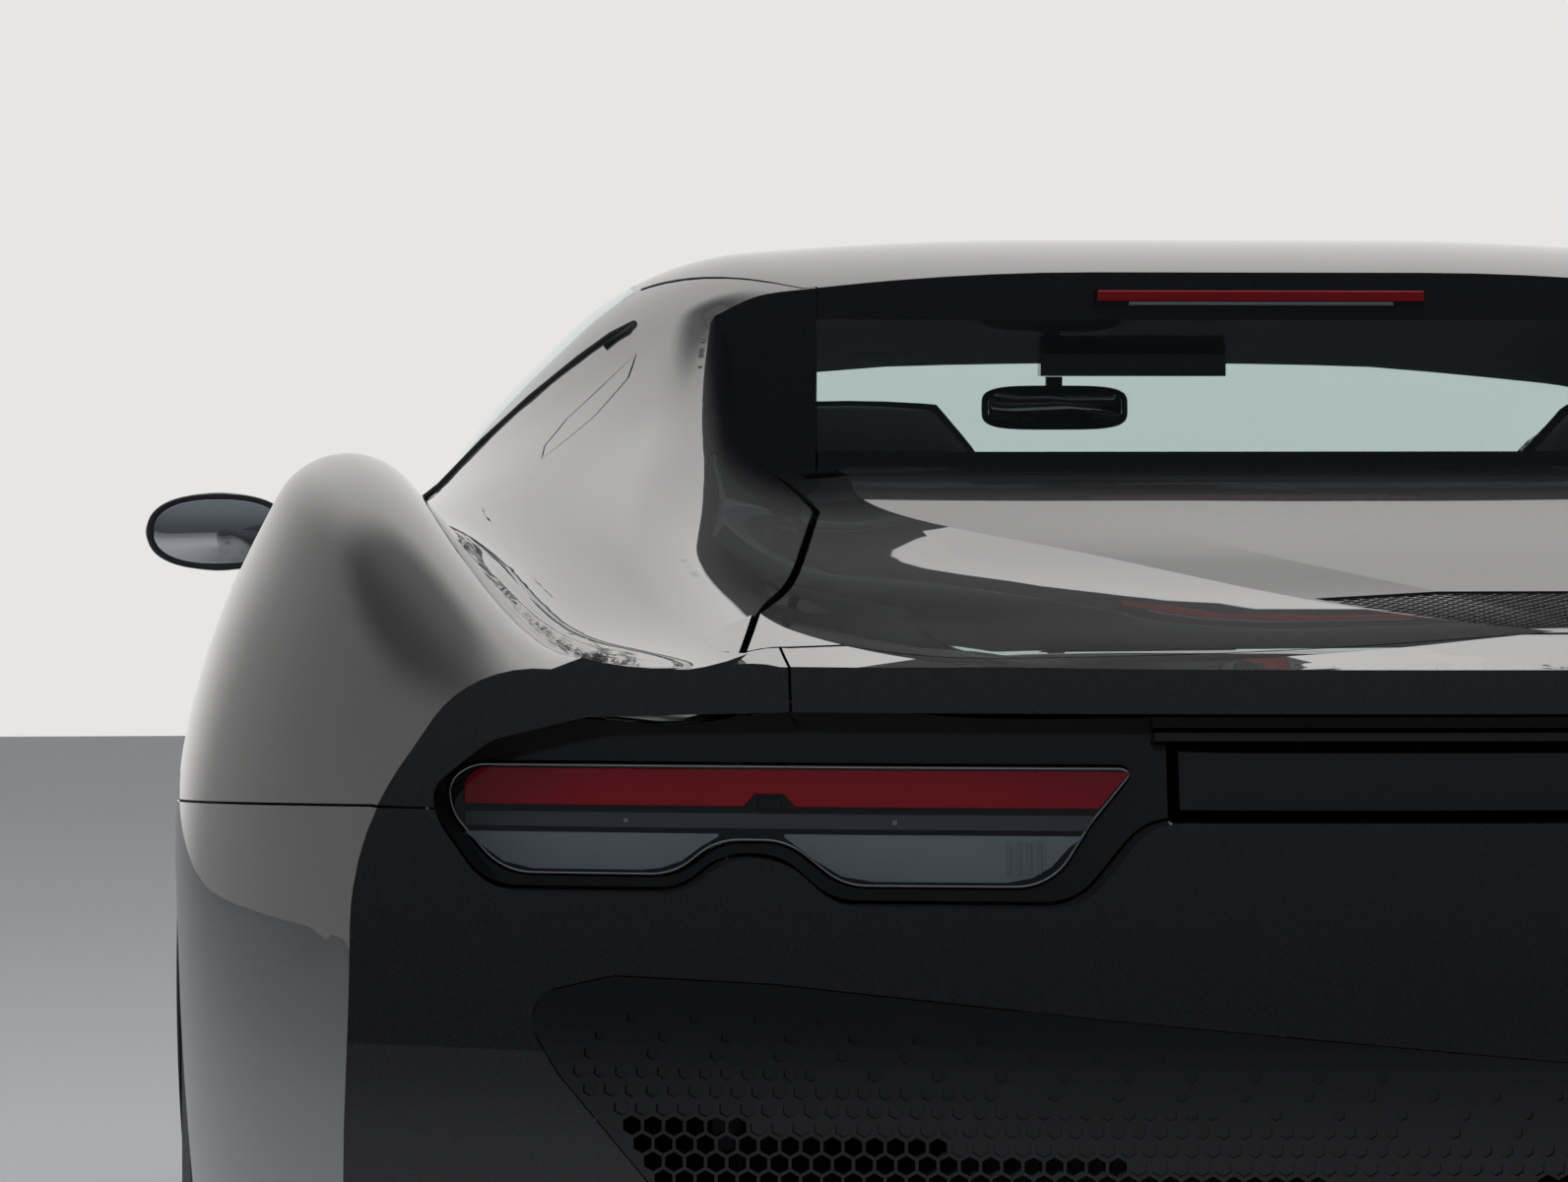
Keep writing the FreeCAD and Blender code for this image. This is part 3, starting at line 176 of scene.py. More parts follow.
# Each wheel is a forged rim with five double spokes in dark satin, bolted with its brake disc to the hub.
# The disc behind the spokes has the same dark finish.
SIDES = (("left", -1), ("right", 1))
WHEELS = {  # columns: half track, axle y, axle z, half tread width, outer radius
    "front": (0.8325, 1.2425, 0.340, 0.1225, 0.340),
    "rear": (0.816, -1.3575, 0.361, 0.1525, 0.361),
}
BOLTS, BOLT_RING, BOLT_RADIUS, HUB_RADIUS = 5, 0.048, 0.0115, 0.032
BOLT_FACE = 0.0605  # from the tyre's outer side in to the face that the bolts sit on
FORGED = {"Base Color": (0.055, 0.055, 0.06, 1), "Metallic": 0.85, "Roughness": 0.3, "Coat Weight": 0.4,
          "Coat Roughness": 0.08}
bolt_steel = coated("bolt_steel", (0.35, 0.35, 0.36), 0.28, metallic=1.0)


def put_in_scene(name, data, material=None):
    """An object of a mesh, a lamp or a camera."""
    made = bpy.data.objects.new(name, data)
    bpy.context.scene.collection.objects.link(made)
    if material:
        data.materials.append(material)
    return made


def mesh_of(name, vertices, faces, material):
    mesh = bpy.data.meshes.new(name)
    mesh.from_pydata([tuple(v) for v in vertices], [], faces)
    return put_in_scene(name, mesh, material)


def add_piece(name, vertices, faces, material, body, smooth=True):
    """A mesh in the car's frame that rides on a body."""
    piece = mesh_of(name, vertices, faces, material)
    if smooth:
        piece.data.shade_smooth()
    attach(piece, body)
    return piece


def lattice(rows, around, loop=False, ring=True):
    """Faces between rows of vertices; the last row meets the first in a loop, as a row's ends do in a ring."""
    return [(i * around + k, i * around + (k + 1) % around,
             (i + 1) % rows * around + (k + 1) % around, (i + 1) % rows * around + k)
            for i in range(rows if loop else rows - 1) for k in range(around if ring else around - 1)]


def caps(rows, around):
    """Faces that close the first and the last ring of a lattice."""
    return [tuple(range(around))[::-1], tuple(range((rows - 1) * around, rows * around))]


def add_to(store, part, move=(0, 0, 0), sign=1):
    """Adds a small mesh to a store of vertices and faces, moved, and mirrored where the sign is -1."""
    vertices, faces = store
    base = len(vertices)
    vertices += [(sign * (x + move[0]), y + move[1], z + move[2]) for x, y, z in part[0]]
    faces += [tuple(base + i for i in face[::sign]) for face in part[1]]


def drum(centre, radius, end, sides, chamfer):
    """Vertices and faces of a cylinder along X with a chamfered outer end."""
    rings = [(0.0, radius), (end - chamfer, radius), (end, radius - chamfer)]
    vertices = [(centre[0] + x, centre[1] + r * math.cos(a), centre[2] + r * math.sin(a))
                for x, r in rings for a in (2 * math.pi * i / sides for i in range(sides))]
    return vertices, lattice(len(rings), sides) + caps(len(rings), sides)[1:]


for axle, (half_track, axle_y, axle_z, half, outer) in WHEELS.items():
    forged = finish(f"forged_{axle}", lambda place: FORGED)
    for side, sign in SIDES:
        dress(forged, f"wheel_{axle}_{side}")
        bolts = ([], [])
        face = (half_track + half - BOLT_FACE, 0, 0)
        for i in range(BOLTS):
            turn = 2 * math.pi * (i + 0.5) / BOLTS
            centre = (0, axle_y + BOLT_RING * math.cos(turn), axle_z + BOLT_RING * math.sin(turn))
            add_to(bolts, drum(centre, BOLT_RADIUS, 0.014, 6, 0.002), face, sign)
        add_to(bolts, drum((0, axle_y, axle_z), HUB_RADIUS, 0.012, 40, 0.004), face, sign)
        add_piece(f"wheel_bolts_{axle}_{side}", *bolts, bolt_steel, f"{axle}_wheel_{side}", smooth=False)


# The tyres are low-profile road tyres with four grooves round the tread and cuts across its ribs.
# The bare sidewalls carry only two plain ribs.
def rubber(place):
    dust = grain(place, 14.0, 4.0)
    return {"Base Color": dust.blend((0.012, 0.012, 0.013, 1), (0.022, 0.022, 0.022, 1)),
            "Roughness": 0.55 + dust * 0.15, "Normal": grain(place, 700.0).bump(0.2, 0.0004)}


tyre_rubber = finish("tyre_rubber", rubber)
GROOVES = (-0.62, -0.22, 0.22, 0.62)
GROOVE_HALF, GROOVE_DEPTH = 0.005, 0.006
PITCHES, STEPS = 66, 5  # cuts round the tread, and steps from one cut to the next
BEAD_RADIUS, CUT_DEPTH, TWIST = 0.2523, 0.0045, 0.006


def tread_profile(half, outer):
    """(x, radius, in the tread) across a tyre from its inner bead to its outer one."""
    side = [(half - 0.018, BEAD_RADIUS, 0), (half - 0.018, 0.262, 0), (half - 0.009, 0.272, 0),
            (half - 0.0035, 0.284, 0), (half - 0.0008, 0.297, 0), (half - 0.0002, 0.304, 0),
            (half - 0.0012, 0.311, 0), (half - 0.0045, outer - 0.022, 0), (half - 0.0085, outer - 0.013, 0),
            (half - 0.016, outer - 0.0055, 0), (half - 0.0255, outer - 0.0012, 1)]
    top = [(half - 0.034, outer, 1)]
    for share in GROOVES[::-1]:
        x = share * (half - 0.03)
        top += [(x + GROOVE_HALF + 0.001, outer, 1), (x + GROOVE_HALF - 0.001, outer - GROOVE_DEPTH, 0),
                (x - GROOVE_HALF + 0.001, outer - GROOVE_DEPTH, 0), (x - GROOVE_HALF - 0.001, outer, 1)]
    top.append((-half + 0.034, outer, 1))
    return side + top + [(-x, r, t) for x, r, t in reversed(side)]


for axle, (half_track, axle_y, axle_z, half, outer) in WHEELS.items():
    profile = tread_profile(half, outer)
    turns = PITCHES * STEPS
    for side, sign in SIDES:
        vertices = []
        for i in range(turns):
            for x, radius, tread in profile:
                angle = 2 * math.pi * i / turns + TWIST * (1 - abs(x) / half) * math.pi
                r = radius - (CUT_DEPTH if tread and i % STEPS == 0 and abs(x) > 0.02 else 0.0)
                vertices.append((sign * (half_track + x), axle_y + r * math.cos(angle),
                                 axle_z + r * math.sin(angle)))
        faces = [quad[::sign] for quad in lattice(turns, len(profile), loop=True, ring=False)]
        tyre = add_piece(f"road_tyre_{axle}_{side}", vertices, faces, tyre_rubber, f"{axle}_wheel_{side}",
                         smooth=False)
        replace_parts(tyre, f"tyre_{axle}_{side}")


# The body panels are pressed and moulded skins in a very dark metallic grey under deep clear lacquer.
# They are bolted to the tub, and each edge is eased a little, so that narrow shut lines show between them.
def body_paint(place):
    flake = place.node("TexVoronoi", {}, {"Vector": place, "Scale": 1400.0}, out=1).part(0)
    return {"Base Color": flake.blend((0.004, 0.004, 0.0046, 1), (0.015, 0.0148, 0.017, 1)), "Metallic": 0.6,
            "Roughness": 0.36 + grain(place, 3.0) * 0.05, "Normal": flake.bump(0.05, 0.0003),
            "Coat Weight": 1.0, "Coat Roughness": 0.012, "Coat IOR": 1.5, "Specular IOR Level": 0.25}


lacquer = finish("graphite_lacquer", body_paint)

# In millimetres. FORM: half sections of the body, from nose to tail (y, then x and z of each corner).
# FOOTPRINT: height, y of the nose, y of the tail. SCOOP: half sections of the hollow between the buttresses.
FORM = [
    (2330, (640, 170), (700, 210), (730, 280), (720, 350), (650, 400), (540, 418), (400, 428), (260, 436),
     (130, 440)),
    (2150, (760, 122), (835, 180), (870, 300), (855, 440), (750, 520), (590, 528), (440, 536), (300, 542),
     (150, 545)),
    (1900, (820, 115), (900, 210), (930, 380), (910, 550), (810, 655), (640, 618), (480, 622), (330, 627),
     (160, 629)),
    (1600, (855, 115), (930, 220), (952, 420), (936, 630), (828, 760), (660, 695), (500, 692), (340, 694),
     (170, 696)),
    (1243, (858, 115), (942, 240), (966, 450), (950, 690), (838, 842), (690, 765), (540, 752), (360, 758),
     (180, 762)),
    (1050, (858, 115), (942, 235), (964, 445), (946, 690), (842, 848), (700, 790), (560, 790), (380, 802),
     (190, 808)),
    (850, (855, 115), (938, 228), (958, 435), (938, 675), (848, 850), (715, 828), (600, 858), (430, 893),
     (215, 903)),
    (600, (848, 115), (932, 224), (950, 415), (925, 645), (848, 850), (735, 855), (665, 925), (500, 990),
     (250, 1003)),
    (300, (842, 115), (926, 220), (940, 400), (908, 620), (848, 852), (745, 880), (680, 985), (525, 1090),
     (260, 1103)),
    (0, (848, 115), (928, 220), (938, 400), (902, 618), (850, 862), (755, 900), (685, 1010), (535, 1160),
     (270, 1180)),
    (-250, (852, 115), (934, 220), (946, 408), (915, 642), (855, 890), (760, 920), (675, 1030), (530, 1162),
     (270, 1182)),
    (-500, (860, 115), (943, 220), (957, 420), (937, 680), (862, 925), (765, 935), (665, 1012), (520, 1112),
     (270, 1142)),
    (-750, (862, 118), (948, 232), (968, 455), (954, 740), (866, 975), (765, 935), (675, 978), (550, 1045),
     (280, 1080)),
    (-1050, (865, 124), (950, 250), (976, 492), (966, 800), (860, 1025), (750, 925), (680, 937), (580, 995),
     (300, 1035)),
    (-1357, (865, 130), (955, 260), (981, 500), (972, 820), (856, 1045), (735, 905), (670, 900), (600, 955),
     (320, 985)),
    (-1750, (855, 160), (940, 280), (966, 520), (954, 800), (832, 985), (710, 868), (655, 868), (600, 912),
     (320, 932)),
    (-2050, (800, 200), (872, 300), (897, 520), (884, 770), (793, 888), (690, 866), (640, 864), (595, 888),
     (320, 899)),
    (-2340, (725, 240), (790, 330), (812, 520), (800, 740), (735, 836), (665, 848), (625, 854), (585, 868),
     (320, 893)),
]
FOOTPRINT = [
    (60, 2150, -2120), (180, 2261, -2195), (340, 2282, -2253), (560, 2255, -2282), (720, 2200, -2273),
    (880, 2100, -2236), (1030, 1960, -2180), (1300, 1650, -2050),
]
SCOOP = [
    (-450, (200, 979), (380, 979), (440, 978), (470, 986), (500, 1300)),
    (-750, (200, 967), (400, 966), (450, 962), (495, 985), (640, 1300)),
    (-1050, (200, 949), (392, 946), (440, 940), (520, 948), (760, 1200)),
    (-1400, (180, 928), (290, 923), (420, 902), (545, 905), (850, 1130)),
    (-1750, (90, 904), (185, 899), (380, 884), (560, 886), (900, 1080)),
    (-2050, (40, 890), (95, 889), (320, 874), (575, 874), (900, 1040)),
    (-2360, (20, 888), (40, 888), (260, 880), (580, 867), (900, 1030)),
]
NOSE_SWEEP, TAIL_SWEEP = 1.450, 2.500
EDGE_EASE = 0.0008


def unit(vectors):
    """Vectors of any array scaled to length 1."""
    return vectors / (np.linalg.norm(vectors, axis=-1, keepdims=True) + 1e-12)


def to_right(places):
    """Points mirrored to the right half of the car, where they aren't on it, and the side each came from."""
    return np.abs(places) * (1, 0, 0) + places * (0, 1, 1), np.where(places[:, 0] < 0, -1.0, 1.0)


def cast(patches, place, direction):
    """Points at which a ray meets the patches of a form."""
    found = [patch[0].ray_cast(Vector(place), Vector(direction))[0] for patch in patches]
    return [hit for hit in found if hit is not None]


def rounded_section(points, sharp, steps=8, most=math.inf):
    """An outline as runs and tangent arcs, with the places at which it has a crease."""
    corners = np.array(points, float)
    ends = []
    for i, corner in enumerate(corners):
        back, ahead = corners[i - 1] - corner, corners[(i + 1) % len(corners)] - corner
        back_length, ahead_length = np.linalg.norm(back), np.linalg.norm(ahead)
        shares = [0.9 if k % len(corners) in sharp else 0.48 for k in (i - 1, i + 1)]
        back, ahead = back / back_length, ahead / ahead_length
        half_turn = math.acos(max(-1.0, min(1.0, float(back @ ahead)))) / 2
        weight = math.sin(half_turn)
        reach = 0 if i in sharp else min(back_length * shares[0], ahead_length * shares[1],
                                         most / math.tan(half_turn))
        ends.append((corner + back * reach, corner, corner + ahead * reach, weight))
    share = np.linspace(0, 1, steps, endpoint=False)[:, None]
    rows, creases = [], []
    for i, (first, corner, last, weight) in enumerate(ends):
        if i in sharp:
            creases.append(sum(len(r) for r in rows))
        else:
            pull = 2 * weight * share * (1 - share)
            scale = (1 - share) ** 2 + pull + share ** 2
            rows.append(((1 - share) ** 2 * first + pull * corner + share ** 2 * last) / scale)
        if i + 1 < len(ends):
            rows.append(last + (ends[i + 1][0] - last) * share)
    rows.append(ends[-1][2][None, :])
    return np.concatenate(rows), creases


def through(knots, values, at):
    """Smooth curve through rows of values at the knots."""
    knots, values, at = np.array(knots, float), np.array(values, float), np.array(at, float)
    step, count = np.diff(knots), len(knots)
    system, right = np.zeros((count, count)), np.zeros_like(values)
    system[0, 0] = system[-1, -1] = 1
    for i in range(1, count - 1):
        system[i, i - 1:i + 2] = step[i - 1], 2 * (step[i - 1] + step[i]), step[i]
        right[i] = 6 * ((values[i + 1] - values[i]) / step[i] - (values[i] - values[i - 1]) / step[i - 1])
    bend = np.linalg.solve(system, right)
    k = np.clip(np.searchsorted(knots, at) - 1, 0, count - 2)
    along, width = (at - knots[k])[:, None], step[k][:, None]
    slope = (values[k + 1] - values[k]) / width - width * (2 * bend[k] + bend[k + 1]) / 6
    cubic = (bend[k + 1] - bend[k]) / (6 * width)
    return values[k] + along * slope + along ** 2 * bend[k] / 2 + along ** 3 * cubic


def form_patches(table, creases):
    """The form's smooth patches: for each a search tree, its triangles' corners and its normals."""
    table = sorted(table)
    sections = [rounded_section([(0, row[1][1]), *row[1:], (0, row[-1][1])],
                                {0, 1, len(row), *creases}) for row in table]
    at = np.arange(table[0][0], table[-1][0] + 1, 12.0)
    flat = through([row[0] for row in table], [section.ravel() for section, marks in sections], at)
    grid = np.empty((len(at), flat.shape[1] // 2, 3))
    grid[..., [0, 2]] = flat.reshape(len(at), -1, 2)
    grid[..., 1] = at[:, None]
    marks = sections[0][1]
    patches = []
    for first, last in zip(marks, marks[1:]):
        part = grid[:, first:last + 1] * 0.001
        normals = unit(np.cross(np.gradient(part, axis=0), np.gradient(part, axis=1)))
        wide = part.shape[1]
        cell = (np.arange(part.shape[0] - 1)[:, None] * wide + np.arange(wide - 1)).ravel()
        triangles = np.concatenate([np.stack([cell, cell + 1, cell + wide], 1),
                                    np.stack([cell + 1, cell + wide + 1, cell + wide], 1)])
        points = part.reshape(-1, 3)
        tree = BVHTree.FromPolygons(points.tolist(), triangles.tolist())
        patches.append((tree, points, triangles, normals.reshape(-1, 3)))
    return patches


def nearest_on(patch, places):
    """Distance to a patch and its normal there, for each place."""
    tree, points, triangles, normals = patch
    found = [tree.find_nearest(Vector(p)) for p in places]
    spot = np.array([f[0] for f in found])
    hit = triangles[[f[2] for f in found]]
    a, b, c = points[hit[:, 0]], points[hit[:, 1]], points[hit[:, 2]]
    whole = np.linalg.norm(np.cross(b - a, c - a), axis=1) + 1e-15
    weight_a, weight_b = (np.linalg.norm(np.cross(one - spot, two - spot), axis=1) / whole
                          for one, two in ((b, c), (c, a)))
    weights = np.stack([weight_a, weight_b, np.clip(1 - weight_a - weight_b, 0, 1)], 1)
    return np.array([f[3] for f in found]), (normals[hit] * weights[..., None]).sum(axis=1)


def end_sweep(places, end):
    """Distance to the nose's (1) or the tail's (-1) curve and its normal there."""
    sweep = NOSE_SWEEP if end > 0 else TAIL_SWEEP
    heights = [row[0] * 0.001 for row in FOOTPRINT]
    middles = [[row[1 if end > 0 else 2] * 0.001] for row in FOOTPRINT]
    z = np.clip(places[:, 2], heights[0], heights[-1])
    middle = through(heights, middles, z)[:, 0]
    slope = (through(heights, middles, z + 0.001)[:, 0] - middle) / 0.001
    x = places[:, 0]
    root = np.sqrt(sweep ** 2 - x ** 2)
    y = middle - end * (sweep - root)
    return np.abs(places[:, 1] - y), unit(np.stack([x / root, np.full_like(x, end), -end * slope], 1))


body_patches = form_patches(FORM, ())
scoop_patches = form_patches(SCOOP, (2,))
DECK_CROWN = 0.12
for patch in scoop_patches[:2]:
    patch[3][:, 1] += DECK_CROWN


def true_form(places):
    """Distances and outward normals of every patch of the car's form, for points on either side."""
    right, side = to_right(places)
    answers = [nearest_on(patch, right) for patch in body_patches]
    hollow = [nearest_on(patch, right) for patch in scoop_patches]
    answers += [(distance, -normal) for distance, normal in hollow]
    answers += [end_sweep(right, 1), end_sweep(right, -1)]
    normals = np.stack([normal for distance, normal in answers])
    normals[..., 0] *= side
    return np.stack([distance for distance, normal in answers]), normals


CREST_REACH = 0.045
CREST_STEP = 0.005
CREST_RUN = np.arange(-1.90, -0.452, CREST_STEP)


def crest_at(y):
    """The point at which the skin turns into the hollow between the buttresses."""
    inner, outer = 0.40, 0.80
    for halving in range(16):
        x = (inner + outer) / 2
        skin = max(hit.z for hit in cast(body_patches, (x, y, 1.5), (0, 0, -1)))
        hollow = min([hit.z for hit in cast(scoop_patches, (x, y, 0.5), (0, 0, 1))] + [9.0])
        inner, outer = (x, outer) if hollow < skin else (inner, x)
    return x, y, skin


crest = np.array([crest_at(y) for y in CREST_RUN])
crest_tangent = unit(np.gradient(crest, axis=0))
crest_skin = nearest_on(body_patches[1], crest)[1]
crest_hollow = -nearest_on(scoop_patches[2], crest)[1]
crest_tree = KDTree(len(crest))
for number, point in enumerate(crest):
    crest_tree.insert(point, number)
crest_tree.balance()


def by_crest(places):
    """For points on either side: nearness to the crest, from 0 at its reach to 1, and both normals there."""
    right, side = to_right(places)
    number = np.array([crest_tree.find(place)[1] for place in right])
    gap = right - crest[number]
    along = (gap * crest_tangent[number]).sum(axis=1)
    along[(right[:, 1] < CREST_RUN[0]) | (right[:, 1] > CREST_RUN[-1])] = 0
    away = np.linalg.norm(gap - along[:, None] * crest_tangent[number], axis=1)
    spot = number + along / CREST_STEP
    normals = []
    for table in (crest_skin, crest_hollow):
        normal = np.stack([np.interp(spot, np.arange(len(crest)), table[:, axis]) for axis in range(3)], 1)
        normal[:, 0] *= side
        normals.append(unit(normal))
    return np.clip(1 - away / CREST_REACH, 0, 1)[:, None], normals[0], normals[1]


def refine_near(worked):
    """Splits the long edges near the crest, so that it can be rounded."""
    for size in (0.04, 0.02, 0.010):
        middles = np.array([tuple((edge.verts[0].co + edge.verts[1].co) / 2) for edge in worked.edges])
        lengths = np.array([edge.calc_length() for edge in worked.edges])
        chosen = [edge for edge, place, length in zip(list(worked.edges), to_right(middles)[0], lengths)
                  if length > size and crest_tree.find(place)[2] < CREST_REACH + length / 2]
        bmesh.ops.subdivide_edges(worked, edges=chosen, cuts=1)
        bmesh.ops.triangulate(worked, faces=worked.faces)


SKIN_TURN, SKIN_FALL = 0.55, 0.05  # least cosine to the form's normal, and the distance that outweighs it
SMOOTH_TURN = 0.9  # cosine from which two faces are shaded as one
EDGE_TURN, OTHER_EDGE = 0.6, 0.8  # sine to the skin from which a face is an edge's; cosine that parts two edges


def inner_shading(shading, rest, corners, facing, area):
    """Shades the faces that lie on no patch with their own normals, smoothed where they hardly bend."""
    around = {}
    for f in rest:
        for v in corners[f]:
            around.setdefault(int(v), []).append(f)
    for f in rest:
        for c, v in enumerate(corners[f]):
            kept = [g for g in around[int(v)] if facing[g] @ facing[f] > SMOOTH_TURN]
            shading[f, c] = (facing[kept] * area[kept, None]).sum(axis=0)
    return around


def edge_shift(around, skin_normal, facing, area, ease):
    """How far the vertices on a panel's outer edges draw in, square to the narrow faces that meet there."""
    shift = np.zeros_like(skin_normal)
    for v, near in around.items():
        up = unit(skin_normal[v])
        if not up.any():
            continue
        cuts = []
        for f in near:
            cut = facing[f] - up * (facing[f] @ up)
            length = np.linalg.norm(cut)
            new = all(cut @ other < OTHER_EDGE * length for other in cuts)
            if new and length > EDGE_TURN and area[f] > 1e-9:
                cuts.append(cut / length)
        for cut in cuts[:2]:
            shift[v] -= cut * ease
    return shift


def round_crest(places, shading, corners, outer, best):
    """Shades the sharp crest of a buttress as a small radius, and says how far each vertex sinks for it."""
    nearness, skin, hollow = by_crest(places)
    half_turn = np.arccos(np.clip((skin * hollow).sum(axis=1), -1, 1))[:, None] / 2
    depth = nearness ** 2 * CREST_REACH / np.tan(half_turn + 1e-6) * (1 / np.cos(half_turn) - 1)
    from_hollow = (best >= len(body_patches)) & (best < len(body_patches) + len(scoop_patches))
    other = np.where(from_hollow[:, None, None], skin[corners], hollow[corners])
    turned = 0.5 * nearness[corners]
    shading[outer] = (shading * (1 - turned) + other * turned)[outer]
    return unit(skin + hollow) * depth


def panel_from(node, material, reach=0.03, ease=EDGE_EASE, rounded=False):
    """A solid of the CAD model as a finished panel: shaded by the true form, with its outer edges eased."""
    source = solids[node]
    worked = bmesh.new()
    worked.from_mesh(source.data)
    bmesh.ops.remove_doubles(worked, verts=worked.verts, dist=2e-6)
    bmesh.ops.triangulate(worked, faces=worked.faces)
    if rounded:
        refine_near(worked)
    mesh = bpy.data.meshes.new("panel_" + node)
    worked.to_mesh(mesh)
    worked.free()
    places = np.array([vertex.co for vertex in mesh.vertices], float)
    corners = np.array([face.vertices for face in mesh.polygons])
    a, b, c = (places[corners[:, i]] for i in range(3))
    facing = np.cross(b - a, c - a)
    area = np.linalg.norm(facing, axis=1)
    facing /= area[:, None] + 1e-15
    distances, normals = true_form(places)
    away = distances[:, corners].max(axis=2)
    along = np.einsum("kfcx,fx->kf", normals[:, corners], facing) / 3
    score = np.where((away < reach) & (along > SKIN_TURN), along - away / SKIN_FALL, -np.inf)
    best, outer = score.argmax(axis=0), score.max(axis=0) > -np.inf
    shading = np.repeat(facing[:, None, :], 3, axis=1)
    shading[outer] = normals[best[outer][:, None], corners[outer]]
    around = inner_shading(shading, np.flatnonzero(~outer), corners, facing, area)
    skin_normal = np.zeros_like(places)
    np.add.at(skin_normal, corners[outer].ravel(), shading[outer].reshape(-1, 3))
    shift = edge_shift(around, skin_normal, facing, area, ease)
    if rounded:
        shift -= round_crest(places, shading, corners, outer, best)
    mesh.vertices.foreach_set("co", (places + shift).ravel())
    mesh.update()
    mesh.shade_smooth()
    mesh.normals_split_custom_set(unit(shading).reshape(-1, 3).tolist())
    piece = put_in_scene("panel_" + node, mesh, material)
    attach(piece, source["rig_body"])
    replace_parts(piece, node)
    return piece


for node in ("front_bumper", "bonnet", "front_fenders", "windscreen_frame", "hardtop", "rear_deck", "engine_lid",
             "tail_lip", "rear_bumper", "door_left", "door_right", "side_sills", "fuel_flap"):
    panel_from(node, lacquer)
for node in ("rear_quarter_left", "rear_quarter_right"):
    panel_from(node, lacquer, rounded=True)


# The floor of the tail's recess and the spoiler blade are moulded in black, polished like the lamps there.
# The tray under the tail is the same plastic with a fine satin grain.
gloss_black = coated("gloss_black", (0.008, 0.008, 0.009), 0.12, vary=0.1)
satin_black = coated("satin_black", (0.011, 0.011, 0.012), 0.42, vary=0.1, bump=0.12, bump_scale=600.0)
for node in ("tail_panel", "rear_spoiler"):
    panel_from(node, gloss_black, reach=0.06)
dress(satin_black, "diffuser", "luggage_tub")


# Honeycomb plates in gloss black close the lower tail, the nose's intakes and the vent in the engine lid.
# On the tail the cells are open below and shrink to shallow dimples towards the top.
TAIL_HEIGHTS = np.linspace(0.3, 0.95, 131)
HEIGHTS, TAIL_ENDS = ([row[column] * 0.001 for row in FOOTPRINT] for column in (0, 2))
TAIL_MIDDLES = through(HEIGHTS, [[y] for y in TAIL_ENDS], TAIL_HEIGHTS)[:, 0]


def tail_place(x, z, depth):
    """Point on the tail's curve, a depth behind its surface."""
    middle = np.interp(z, TAIL_HEIGHTS, TAIL_MIDDLES)
    return (x, middle + depth + TAIL_SWEEP - math.sqrt(TAIL_SWEEP ** 2 - x ** 2), z)


def nose_place(x, z, depth):
    return (x, GRILLE_FACE - depth - NOSE_SWEEP + math.sqrt(NOSE_SWEEP ** 2 - x ** 2), z)


GRILLE_FACE = 2.225
EXHAUST, EXHAUST_CLEAR = (.09, .505), .060
TAIL_MESH = [(0, .620), (.116, .626), (.4, .652), (.6, .672), (.7, .676), (.745, .665), (.752, .645),
             (.735, .615), (.706, .58), (.64, .5), (.56, .42), (.47, .38), (0, .38)]
NOSE_MESHES = ([(0, .185), (.3, .19), (.385, .262), (.33, .312), (0, .3)],
               [(.5, .215), (.7, .225), (.77, .3), (.72, .352), (.5, .325)])
LID_MESH = [(0, -1.75), (.178, -1.75), (.092, -2.06), (0, -2.06)]
THROUGH = 0.007  # cells of this depth or more have no floor


def clipped(outline, window):
    """The part of an outline that lies in a convex window, both in one plane."""
    result = list(outline)
    for (ax, az), (bx, bz) in zip(window, window[1:] + window[:1]):
        kept = []
        for (px, pz), (qx, qz) in zip(result, result[1:] + result[:1]):
            side_p = (bx - ax) * (pz - az) - (bz - az) * (px - ax)
            side_q = (bx - ax) * (qz - az) - (bz - az) * (qx - ax)
            if side_p >= 0:
                kept.append((px, pz))
            if (side_p > 0 > side_q) or (side_p < 0 < side_q):
                share = side_p / (side_p - side_q)
                kept.append((px + (qx - px) * share, pz + (qz - pz) * share))
        result = kept
    return result


def inside(outline, x, z):
    odd = False
    for (px, pz), (qx, qz) in zip(outline, outline[1:] + outline[:1]):
        if (pz > z) != (qz > z) and x < px + (qx - px) * (z - pz) / (qz - pz):
            odd = not odd
    return odd


def comb_plate(store, outline, pitch, place, hole):
    """Adds half a honeycomb plate and its mirror image; hole gives how far a cell is open, and its depth."""
    vertices, faces = store
    span = pitch / math.sqrt(3)
    widest, highest = (max(values) for values in zip(*outline))
    lowest = min(z for x, z in outline)
    ring = [(math.sin(math.pi / 3 * k), math.cos(math.pi / 3 * k)) for k in range(6)][::-1]
    for row in range(int((highest - lowest) / (span * 1.5)) + 3):
        z = lowest + row * span * 1.5
        for column in range(int(widest / pitch) + 2):
            x = (column + 0.5 * (row % 2)) * pitch
            corners = [(x + span * a, z + span * b) for a, b in ring]
            whole = all(inside(outline, px, pz) or px < 0 for px, pz in corners)
            share, depth = hole(x, z) if whole else (0, 0)
            if share is None:
                continue
            for sign in (1, -1):
                base = len(vertices)
                if share == 0:
                    shape = clipped(outline, corners)
                    if len(shape) < 3:
                        continue
                    vertices += [place(sign * px, pz, 0.0) for px, pz in shape]
                    faces.append(tuple(range(base, base + len(shape)))[::sign])
                    continue
                if x < 1e-6 and sign < 0:
                    continue
                levels = ((1.0, 0.0), (share, 0.0), (share, depth))
                vertices += [place(sign * (x + span * r * a), z + span * r * b, d)
                             for r, d in levels for a, b in ring]
                walls = lattice(3, 6) + (caps(3, 6)[1:] if depth < THROUGH else [])
                faces += [tuple(base + i for i in face)[::sign] for face in walls]


